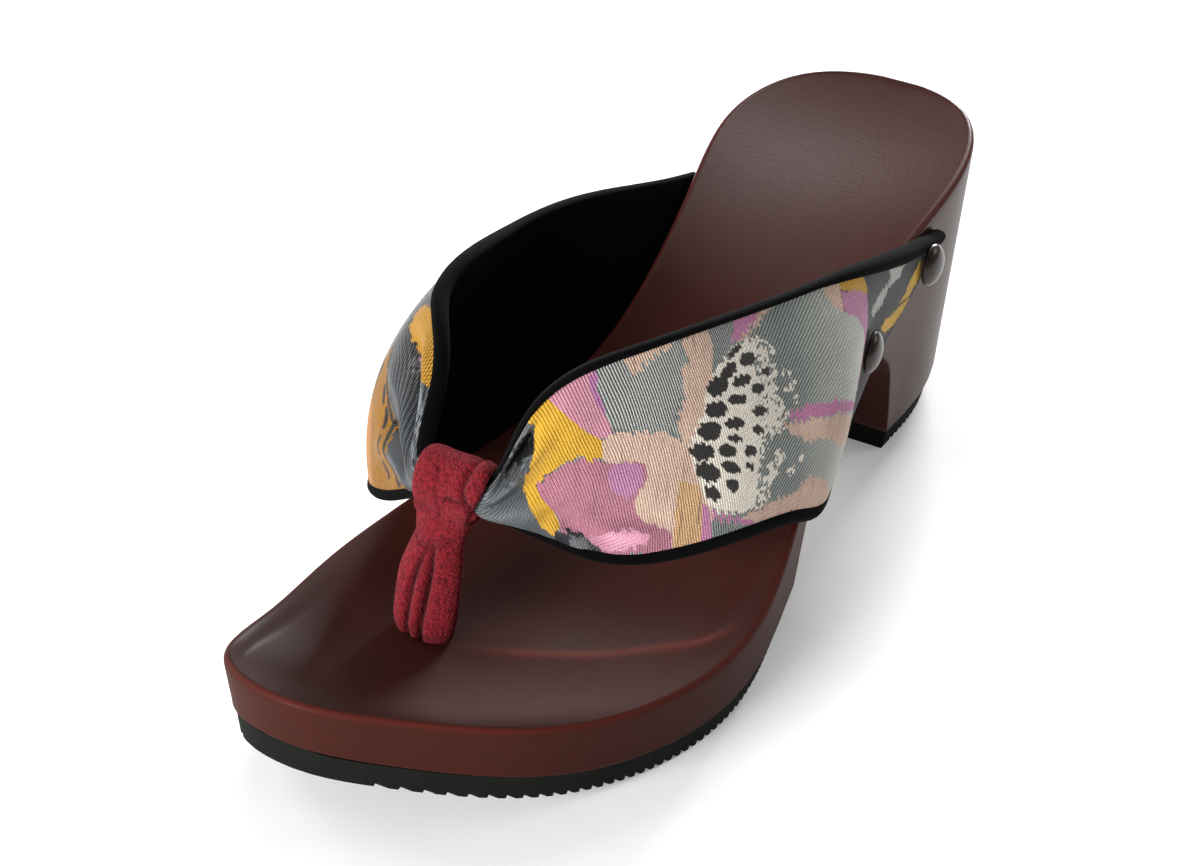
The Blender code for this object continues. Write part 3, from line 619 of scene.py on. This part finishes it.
def strap_frame(share):
    """Upper edge, lower edge, outward normal, belly and gather of the strap at shares of -1 to 1."""
    mirrored = WING_INNER[::-1] * np.array([-1] + [1] * 7)
    rows = np.vstack([mirrored, [BUNDLE], WING_OUTER])
    found, ahead, behind = (through(rows, share + step) for step in (0, 0.004, -0.004))
    upper, lower = found[:, 0:3], found[:, 3:6]
    along = (ahead - behind)[:, 0:3] + (ahead - behind)[:, 3:6]
    normal = np.cross(lower - upper, along)
    normal /= np.linalg.norm(normal, axis=1)[:, None]
    gather, trim = read_off(GATHER, np.abs(share))
    down = lower - upper
    down *= (trim / np.linalg.norm(down, axis=1))[:, None]
    return upper + down, lower - down, normal, found[:, 6], gather


def stand_out(d, off, belly, gather):
    """How far out the cloth stands at parts d of the way down: off from its middle, which bellies as
    4 d (1 - d), thickened by the gather in the same way."""
    swell = 4 * d * (1 - d)
    return swell * belly[:, None] + off + np.sign(off) * gather[:, None] * swell


def cloth_points(share, down, off):
    """Points on the strap at shares (rows) and parts of the way down (columns), off from its middle."""
    upper, lower, normal, belly, gather = strap_frame(share)
    out, d = stand_out(down, off, belly, gather), down[:, None]
    return upper[:, None] * (1 - d) + lower[:, None] * d + normal[:, None] * out[..., None]


def cloth_sizes(share):
    """The cloth's length to each share and its depth there, in millimetres."""
    upper, lower = strap_frame(share)[:2]
    middle = (upper + lower) / 2
    run = np.hstack([0, np.linalg.norm(np.diff(middle, axis=0), axis=1).cumsum()])
    return run, np.linalg.norm(lower - upper, axis=1)


def from_line(x, y, start, end, whole=False):
    """Each point's distance from the stretch between two ends, or from the whole line through them,
    and its share of the way along: the dot product with the stretch over its length squared."""
    dx, dy = end[0] - start[0], end[1] - start[1]
    share = ((x - start[0]) * dx + (y - start[1]) * dy) / (dx**2 + dy**2)
    foot = share if whole else np.clip(share, 0, 1)
    return np.hypot(x - start[0] - foot * dx, y - start[1] - foot * dy), share


def fold_relief(side, share, run, deep, x, y):
    """Sum of the folds' gaussian ridges: height exp(-(distance / half-width)^2), tapered to its ends."""
    relief = np.zeros(x.shape)
    for _, u0, v0, u1, v1, wide, high in FOLDS[FOLDS[:, 0] == side]:
        along, part = np.array([u0, u1]) / 100, np.array([v0, v1]) / 100
        ends = zip(np.interp(along, np.abs(share), run), part * np.interp(along, np.abs(share), deep))
        off, at = from_line(x, y, *ends, whole=True)
        relief += high * smooth_step(-0.15, 0.2, at) * smooth_step(1.15, 0.75, at) * np.exp(-(off / wide)**2)
    return relief


def inside_of(outline, u, v):
    """Even-odd test of points against a closed outline of (u, v) corners."""
    corners = np.asarray(outline, float)
    inside = np.zeros(u.shape, bool)
    for (u0, v0), (u1, v1) in zip(corners, np.roll(corners, -1, axis=0)):
        if v0 != v1:
            inside ^= ((v0 > v) != (v1 > v)) & (u < (u1 - u0) * (v - v0) / (v1 - v0) + u0)
    return inside


def value_noise(x, y, seed):
    """Smooth lattice noise from 0 to 1, one cell to the unit."""
    cells = np.random.default_rng(seed).random((64, 64))
    i, j = np.floor(x).astype(int), np.floor(y).astype(int)
    s, t = smooth_step(0, 1, x - i), smooth_step(0, 1, y - j)
    near, far = (cells[i % 64, row % 64] * (1 - s) + cells[(i + 1) % 64, row % 64] * s for row in (j, j + 1))
    return near * (1 - t) + far * t


def brocade(name, side, chart):
    """One wing of brocade: the bellied grid, its folds, and its pattern as colour, stripe and satin."""
    share = side * np.linspace(0.0, 1.0, 561)
    down = np.linspace(-0.01, 0.98, 149)
    run, deep = cloth_sizes(share)
    u, v = np.meshgrid(np.abs(share) * 100, down * 100, indexing="ij")
    x, y = np.broadcast_to(run[:, None], u.shape), deep[:, None] * down
    relief = fold_relief(side, share, run, deep, x, y)
    points = cloth_points(share, down, FACE + relief)

    # the weaver's comb: each slanting thread carries its colour a little too far or stops short
    thread = np.floor((x * SLANT_X - y * SLANT_Y) / THREAD).astype(int)
    comb = np.random.default_rng(5).random(512)[thread % 512] * 1.1 - 0.55 + np.where(thread % 2, 0.25, -0.25)
    uu = u + comb * SLANT_Y * (100 / run[-1])
    vv = v + comb * SLANT_X * 100 / deep[:, None]
    dark, pale, ground_satin = ("8f9692", "bfc2b8", 0.2) if side > 0 else ("3f4245", "3f4245", 0.8)
    light = smooth_step(64, 82, u) * (side > 0)
    dark, pale = np.array(linear(dark)), np.array(linear(pale))
    colour = dark + (pale - dark) * light[..., None]
    stripe = 0.9 - 0.6 * light
    satin = np.full(relief.shape, ground_satin)
    for code, lined, shine, outline in chart:
        held = inside_of(outline, uu, vv)
        colour[held], stripe[held], satin[held] = linear(code), lined, shine
    if side > 0:
        ragged = (value_noise(x / 0.7, y / 0.7, 7) - 0.5) * 3.2
        heart = inside_of(HEART, uu + ragged * smooth_step(57, 61, u), vv)
        for a, b, wide, high in FLECKS:
            dx, dy = x - np.interp(a, u[:, 0], run), (v - b) / 100 * deep[:, None]
            heart |= (dx / wide)**2 + (dy / high)**2 < 1.5 * value_noise(x / 1.3, y / 0.6, 11)**2
        heart &= ~((value_noise(x / 0.6, y / 0.6, 13) > 0.7) & (u > 58.5))
        colour[heart], stripe[heart], satin[heart] = linear("f0e7d9"), 0.3, 0.15
        rough = 0.74 + 0.22 * value_noise(x / 0.5, y / 0.5, 17)
        for a, b, wide, high, slope in SEEDS:
            dx = x + 0.25 * comb - np.interp(a, u[:, 0], run)
            dy = (v - b) / 100 * deep[:, None] + 0.5 * comb
            along, aside = np.array([dx + slope * dy, dy - slope * dx]) / math.hypot(1, slope)
            seed = (along / wide)**2 + (aside / high)**2 < rough
            colour[seed], stripe[seed] = linear("24211d"), 0.0
    else:
        for streak in STREAKS:
            held = from_line(u, v / 3, *np.array(streak) / (1, 3))[0]**2 < 0.3
            colour[held], stripe[held] = linear("211f1c"), 0.0
    # painted light and shade: satin colour is lightened on the folds' ridges and darkened in their valleys
    colour[..., :3] *= 1 + 0.38 * (np.clip(relief, -1.3, 1.3) * (satin > 0.6))[..., None]
    warmth = np.clip(colour[..., 0] - 1.25 * colour[..., 2], 0, 0.35) / 0.35

    wing = add_object(name, points, grid_faces(points)[:, ::side], cloth)
    mark(wing, "drawn", warmth * ((satin < 0.25) | (satin == 0.35)))
    mark(wing, "across", smooth_step(52, 60, u) * (side > 0))
    mark(wing, "pattern", colour, "FLOAT_COLOR", "color")
    mark(wing, "stripe", stripe)
    mark(wing, "satin", satin)
    corner = np.empty(len(wing.data.loops), int)
    wing.data.loops.foreach_get("vertex_index", corner)
    laid = np.stack([x, y], axis=-1).reshape(-1, 2)[corner] / 100
    wing.data.uv_layers.new(name="cloth").data.foreach_set("uv", laid.ravel())
    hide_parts("strap_upper")


cloth = material("brocade", Sheen_Weight=0.06, Sheen_Roughness=0.4, Specular_IOR_Level=0.32)
laid = node(cloth, "UVMap", "UV", uv_map="cloth")
drawn, across, stripe, satin = (marked(cloth, name) for name in ("drawn", "across", "stripe", "satin"))


def turned(degrees, scale=(100.0, 100.0, 100.0)):
    """The cloth's own length and depth, in millimetres unless scaled otherwise, turned by an angle."""
    turn = {"Rotation": (0, 0, math.radians(degrees)), "Scale": scale}
    return node(cloth, "Mapping", "Vector", {"Vector": laid, **turn})


def threads(where, scale, sway, sway_scale=1.0):
    """Rows of threads as sine ridges across x, which sway along their length."""
    swaying = {"Distortion": sway, "Detail": 1.0, "Detail Scale": sway_scale}
    return node(cloth, "TexWave", "Fac", {"Vector": where, "Scale": scale, **swaying}, wave_profile="SIN")


warp = turned(16)
drift = node(cloth, "TexNoise", "Color", {"Vector": warp, "Scale": 0.09, "Detail": 1.0})
pushed = node(cloth, "VectorMath", 0, {0: drift, 1: (0.9, 0.0, 0.0)}, operation="MULTIPLY")
swayed = node(cloth, "VectorMath", 0, {0: warp, 1: pushed}, operation="ADD")
slanting = node(cloth, "Mix", 0, {0: across, 2: threads(swayed, 0.62, 0.25, 1.2),
                                  3: threads(turned(-44), 0.37, 0.5)})
lines = node(cloth, "Mix", 0, {0: ranged(cloth, satin, 0.6, 0.8), 2: slanting,
                               3: threads(turned(-88), 0.37, 0.8, 0.6)})
twill = threads(turned(-62), 0.62, 0.6)
gaps = worked(cloth, "MULTIPLY", ranged(cloth, lines, 0.52, 0.22, 0.0, 0.92), stripe)
strands = noise(cloth, turned(8, (240.0, 8.0, 1.0)), 1.0, Roughness=0.65, Distortion=0.1)
splits = worked(cloth, "MULTIPLY", ranged(cloth, strands, 0.545, 0.66, 0.0, 0.85), drawn)
flecks = noise(cloth, warp, 2.2, 4.0, Roughness=0.7)
specks = mixed(cloth, flecks, (0.62, 0.62, 0.62, 1), (1.38, 1.38, 1.38, 1))
shades = mixed(cloth, noise(cloth, laid, 9.0), (0.82, 0.80, 0.80, 1), (1.18, 1.2, 1.2, 1))
mottled = mixed(cloth, 1.0, marked(cloth, "pattern", "Color"), specks, blend_type="MULTIPLY")
shaded = mixed(cloth, 1.0, mottled, shades, blend_type="MULTIPLY")
inked = mixed(cloth, gaps, shaded, "17181a")
bump = bumped(cloth, worked(cloth, "ADD", twill, lines), 0.7, 0.00025)
finish_with(cloth, Base_Color=mixed(cloth, splits, inked, "5a4034"),
            Roughness=ranged(cloth, satin, 0.0, 1.0, 0.66, 0.3), Normal=bump)
brocade("brocade_outer", 1, OUTER_CHART)
brocade("brocade_inner", -1, INNER_CHART)

# ======== lining and bindings ========
# Black brushed cotton lines the strap, and the same cloth, cut on the bias, is rolled over both
# edges and stitched down; it drinks the light and shows only a dull grey nap along its folds.
BINDING = np.array([
    # down (1 at the end of its leg, below 0 round the edge), off (1.3 is the cloth's face)
    (1.0, 1.15), (0.92, 1.5), (0.7, 1.75), (0.4, 1.9), (0.0, 1.95), (-0.25, 1.93), (-0.5, 1.75), (-0.78, 1.3),
    (-0.96, 0.65), (-1.0, 0.0), (-0.96, -0.65), (-0.78, -1.3), (-0.5, -1.75), (-0.25, -1.93), (0.0, -1.95),
    (0.3, -1.9), (0.7, -1.75), (0.95, -1.55), (1.0, -1.2),
])
TOP_BINDING = np.array([
    # share, roll mm, outer leg mm, inner leg mm, fullness
    (-1.0, 1.2, 1.8, 6.0, 0.3), (-0.9, 1.5, 1.4, 7.5, 0.7), (-0.3, 1.4, 0.8, 7.5, 0.6),
    (-0.2, 1.2, 0.4, 6.0, 0.5), (-0.1, 0.8, 0.3, 2.0, 0.3), (0.12, 0.8, 0.3, 2.0, 0.3),
    (0.22, 1.2, 0.3, 5.0, 0.5), (0.32, 1.4, 0.5, 6.0, 0.6), (0.45, 1.4, 0.4, 7.0, 0.6),
    (0.75, 1.4, 0.4, 7.0, 0.6), (0.84, 1.6, 1.2, 7.0, 0.8), (0.92, 1.8, 2.2, 7.0, 1.0),
    (1.0, 1.8, 2.2, 6.0, 0.8),
])
FOOT_BINDING = np.array([
    # share, roll mm, outer leg mm, inner leg mm, fullness
    (-1.0, 0.6, 0.6, 3.0, 0.1), (-0.9, 0.8, 0.8, 3.0, 0.3), (-0.3, 1.3, 0.9, 4.0, 0.6),
    (-0.1, 0.8, 0.5, 2.0, 0.3), (0.1, 0.8, 0.5, 2.0, 0.3), (0.25, 1.1, 0.9, 3.0, 0.5),
    (0.45, 1.4, 1.3, 4.0, 0.7), (0.78, 1.5, 1.4, 4.0, 0.7), (0.86, 0.7, 0.3, 3.0, 0.2),
    (1.0, 0.6, 0.3, 3.0, 0.1),
])
cotton = material("black_cotton", Roughness=0.95, Sheen_Weight=0.01, Sheen_Roughness=0.5,
                  Specular_IOR_Level=0.05)
where = node(cotton, "TexCoord", "Object")
tone = mixed(cotton, noise(cotton, where, 70.0), "030303", "08080a")
nap = bumped(cotton, noise(cotton, where, 1800.0, 4.0), 0.4, 0.0002)
finish_with(cotton, Base_Color=tone, Normal=nap)
points = cloth_points(np.linspace(-1, 1, 401), np.linspace(0.03, 0.97, 33), BACK)
lining = add_object("strap_lining", points, grid_faces(points), cotton)
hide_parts("strap_upper")


def binding(name, low_edge, table):
    """The rolled edge, swept along the strap: its legs follow the cloth, its round goes over the edge."""
    share = np.linspace(-1, 1, 561)
    upper, lower, normal, belly, gather = strap_frame(share)
    if low_edge:
        upper, lower = lower, upper
    roll, reach_out, reach_in, full = (column[:, None] for column in read_off(table, share))
    deep = np.linalg.norm(lower - upper, axis=1)[:, None]
    part, off = BINDING[None, :, 0], BINDING[None, :, 1]
    legs = np.where(part < 0, part * roll, part * np.where(off > 0, reach_out, reach_in))
    d = np.clip(legs / deep, 0, 0.45)
    off = np.sign(off) * np.where(part < 0, np.abs(off) * (1.35 + 0.6 * full) / 1.95,
                                  1.1 + (np.abs(off) - 1.1) * (0.35 + 0.65 * full))
    out = stand_out(d, off, belly, gather)
    line = (lower - upper)[:, None] / deep[..., None]
    legs = legs - (0.0 if low_edge else 0.5)
    points = upper[:, None] + line * legs[..., None] + normal[:, None] * out[..., None]
    made = add_object(name, points, grid_faces(points)[:, ::-1 if low_edge else 1], cotton)
    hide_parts("strap_upper")


binding("binding_top", False, TOP_BINDING)
binding("binding_foot", True, FOOT_BINDING)

# ======== toe thong ========
# A strip of crimson crepe, doubled and folded over the gathered strap, drawn in below it and let
# down into the footbed between the toes in plump lobes; its pebbled weave is a little rubbed.
POST = np.array([
    # z, centre x, centre y, width, depth
    (16.0, -12.5, -70.9, 10.5, 6.4), (17.6, -12.5, -70.8, 12.2, 7.6), (19.6, -12.6, -70.7, 13.4, 8.6),
    (22.0, -12.8, -70.0, 13.8, 8.8), (25.0, -13.1, -68.9, 13.9, 8.6), (29.0, -13.4, -67.4, 13.6, 8.4),
    (33.0, -13.3, -66.0, 12.2, 8.0), (36.5, -13.0, -65.0, 10.9, 7.6), (39.4, -12.8, -64.1, 11.6, 7.4),
    (42.0, -12.6, -63.6, 12.4, 7.6), (45.0, -12.2, -63.4, 13.2, 7.8),
])
CLEFTS = np.array([
    # z, side of the left cleft, side of the main cleft, their depths
    (16.0, -0.34, 0.10, 2.4, 3.2), (22.0, -0.34, 0.14, 2.6, 3.4), (29.0, -0.26, 0.22, 2.2, 3.0),
    (34.0, -0.14, 0.18, 1.3, 2.0), (37.0, -0.05, 0.12, 0.3, 0.5), (45.0, 0.0, 0.1, 0.0, 0.0),
])
WRAP = np.array([
    # turn in degrees from the back over the top to the front, left edge x, right edge x
    (0, -18.4, -4.8), (60, -18.6, -4.2), (95, -19.0, -3.5), (135, -19.1, -3.3), (165, -19.0, -4.0),
    (190, -18.9, -5.4), (215, -18.8, -6.4), (245, -18.2, -7.2), (275, -17.4, -7.4), (320, -18.0, -5.8),
    (360, -18.4, -4.8),
])
CREASES = (
    # half-width, depth, line as (x, z) on its front
    (0.5, 1.1, ((-6.2, 56.0), (-7.2, 53.0), (-7.6, 50.0), (-6.6, 47.4), (-5.2, 46.2))),
    (0.5, 1.0, ((-10.6, 47.2), (-8.4, 46.8), (-6.6, 47.4))),
    (0.8, 0.5, ((-19.3, 44.6), (-16.8, 43.6), (-14.3, 42.8))),
    (0.6, 0.5, ((-18.8, 37.6), (-16.4, 36.4), (-14.4, 35.6), (-11.8, 36.0), (-8.8, 37.6))),
    (0.45, 0.4, ((-13.3, 52.4), (-13.0, 49.0), (-12.2, 45.4), (-11.8, 41.5))),
)
LOOP_Y, LOOP_Z = -61.4, 46.2
TUCK_X, TUCK_Y, TUCK_Z = -7.6, -64.6, 44.0
crepe = material("crimson_crepe", Roughness=0.95, Sheen_Weight=0.04, Sheen_Roughness=0.5,
                 Specular_IOR_Level=0.05)
where = node(crepe, "TexCoord", "Object")
pebbles = noise(crepe, where, 1500.0, Roughness=0.6, Distortion=0.2)
fuzz = noise(crepe, where, 3600.0)
tone = mixed(crepe, ranged(crepe, pebbles, 0.28, 0.66), "4c0d14", "8c212b")
paler_marks = mixed(crepe, ranged(crepe, fuzz, 0.55, 0.75, 0.0, 0.35), tone, "9e3a42")
# painted shade: the crepe turns near black where the creases and clefts are marked
crepe_with_painted_shade = mixed(crepe, marked(crepe, "hollow"), paler_marks, "1d0507")
bump = bumped(crepe, worked(crepe, "MULTIPLY_ADD", fuzz, 0.35, pebbles), 1.0, 0.0012)
finish_with(crepe, Base_Color=crepe_with_painted_shade, Normal=bump)


def clefts(z):
    """The two clefts between the lobes at heights: the side each lies at, and how deep it is cut."""
    left, main, left_deep, main_deep = np.moveaxis(through(CLEFTS, z), -1, 0)
    return (left, left_deep), (main, main_deep)


# the loop over the strap: an oval tube whose outer skin puffs out as (1 - s^6)^0.5 across its width
t, s = np.meshgrid(np.linspace(0, 2 * np.pi, 97)[:-1], np.linspace(-1, 1, 41))
left, right = read_off(WRAP, np.degrees(t))
flare = 0.6 * s**2
puff = 2.0 * np.clip(1 - np.abs(s)**6, 0, 1)**0.5
skin, lined = (np.stack([(left + right) / 2 + s * (right - left) / 2, LOOP_Y + (deep + flare) * np.cos(t),
                         LOOP_Z + (high + flare) * np.sin(t)], axis=-1)
               for deep, high in ((3.9 + puff, 5.7 + puff), (3.5, 5.3)))
loop = np.vstack([skin, lined[::-1], skin[:1]])

# the post: ovals up the table, drawn back in front by depth exp(-|side - cleft| / 0.075) in each cleft
z = np.linspace(POST[0, 0], POST[-1, 0], 120)[:, None]
post_x, post_y, width, depth = np.moveaxis(through(POST, z), -1, 0)
t = np.linspace(0, 2 * np.pi, 145)[None, :-1]
side, front = np.cos(t), np.sin(t)
reach = depth / 2 * front
for at, cut in clefts(z):
    drawn_in = np.clip(cut, 0, None) * np.exp(-np.abs(side - at) / 0.075) * np.sqrt(np.abs(front))
    reach = reach + np.where(front < 0, drawn_in, 0)
post = np.stack([post_x + width / 2 * side, post_y + reach, np.broadcast_to(z, reach.shape)], axis=-1)
ends = np.broadcast_to(post[[0, -1]].mean(axis=1, keepdims=True), (2,) + post.shape[1:])
post = np.vstack([ends[:1], post, ends[1:]])

# the tuck: a small leaning pad where the strip's end goes under the loop
lift, around = np.meshgrid(np.linspace(0, np.pi, 25), np.linspace(0, 2 * np.pi, 37)[:-1], indexing="ij")
tuck = np.stack([TUCK_X + 2.6 * np.sin(lift) * np.cos(around) + 0.5 * np.cos(lift),
                 TUCK_Y + 1.0 * np.sin(lift) * np.sin(around),
                 TUCK_Z + 1.8 * np.cos(lift) - 0.8 * np.sin(lift) * np.cos(around)], axis=-1)
form = joined((loop, True, False), (post, True, False), (tuck, True, False))
thong = add_object("crepe_thong", *form, crepe)
weld(thong.data, 1e-7)
blocky = thong.modifiers.new("remesh", "REMESH")
blocky.mode = "VOXEL"
blocky.voxel_size = 0.00036
soft = thong.modifiers.new("soften", "SMOOTH")
soft.factor, soft.iterations = 0.5, 3
bpy.context.view_layer.update()
made = bpy.data.meshes.new_from_object(thong.evaluated_get(bpy.context.evaluated_depsgraph_get()))
thong.modifiers.clear()
thong.data = made
made.materials.clear()
made.materials.append(crepe)

# the creases sink a point against its normal by depth exp(-distance / half-width), in front and on top
spots, normals = np.empty(len(made.vertices) * 3), np.empty(len(made.vertices) * 3)
made.vertices.foreach_get("co", spots)
made.vertex_normals.foreach_get("vector", normals)
spots, normals = spots.reshape(-1, 3) * 1000, normals.reshape(-1, 3)
sink = np.zeros(len(spots))
for wide, depth, line in CREASES:
    nearest = np.min([from_line(spots[:, 0], spots[:, 2], *ends)[0] for ends in zip(line, line[1:])], axis=0)
    sink += depth * np.exp(-nearest / wide)
on_top = smooth_step(0.5, 0.9, normals[:, 2]) * smooth_step(44, 48, spots[:, 2])
facing = np.clip(smooth_step(0.2, -0.3, normals[:, 1]) + on_top, 0, 1)
spots -= normals * (sink * facing)[:, None]
made.vertices.foreach_set("co", (spots * 0.001).ravel())
made.shade_smooth()
level = np.clip(spots[:, 2], POST[0, 0], POST[-1, 0])
post_x, _, width, _ = through(POST, level).T
side = (spots[:, 0] - post_x) / (width / 2)
# painted shade in the creases, deepest down the clefts between the lobes, on the front
hollow = 0.6 * np.clip(sink, 0, 1) * facing
for at, cut in clefts(level):
    hollow += 0.42 * np.clip(cut, 0, 2) * np.exp(-((side - at) / 0.07)**2) * smooth_step(39, 36, spots[:, 2])
mark(thong, "hollow", np.clip(hollow, 0, 0.9) * (spots[:, 1] < -64))
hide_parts("toe_thong")

# ======== nail caps ========
# Four domed caps, turned and lacquered dark brown like the body but glossier, that cover the nails
# holding the strap's tails; the lacquer is a little rubbed and clouded on the crown.
CAP_RADIUS, CAP_HEIGHT = 4.75, 2.8
polish = material("cap_polish", Roughness=0.3, Coat_Weight=0.15, Coat_Roughness=0.15,
                  Specular_IOR_Level=0.3)
paler_marks = noise(polish, node(polish, "TexCoord", "Object"), 500.0, 4.0)
finish_with(polish, Base_Color=mixed(polish, paler_marks, "1c1410", "30231b"),
            Roughness=ranged(polish, paler_marks, 0.0, 1.0, 0.24, 0.36))
lift, turn = np.linspace(0, math.pi / 2, 15), np.arange(64)[None, :, None] / 64 * 2 * np.pi
profile = np.vstack([[(0.0, 0.0), (0.93, 0.0), (0.98, 0.04)],
                     np.column_stack([np.cos(lift), 0.12 + 0.88 * np.sin(lift)])])[:, None]
for name in ("nail_cap_outer_rear", "nail_cap_outer_front", "nail_cap_inner_rear", "nail_cap_inner_front"):
    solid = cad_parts[name]
    spots = np.empty(len(solid.data.vertices) * 3)
    solid.data.vertices.foreach_get("co", spots)
    spots = spots.reshape(-1, 3) @ np.array(solid.matrix_world)[:3, :3].T
    centre = np.sum(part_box(name), axis=0) * 500
    axis = np.linalg.svd(spots - spots.mean(axis=0), full_matrices=False)[2][2]
    axis *= np.sign(axis[0] * centre[0])
    wide = np.cross(axis, (0, 0, 1))
    wide /= np.linalg.norm(wide)
    rings = (centre + axis * CAP_HEIGHT * (profile[..., 1:] - 0.5)
             + CAP_RADIUS * profile[..., :1] * (wide * np.cos(turn) + np.cross(wide, axis) * np.sin(turn)))
    cap = add_object(name + "_dome", rings, grid_faces(rings, closed=True), polish)
    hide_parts(name)
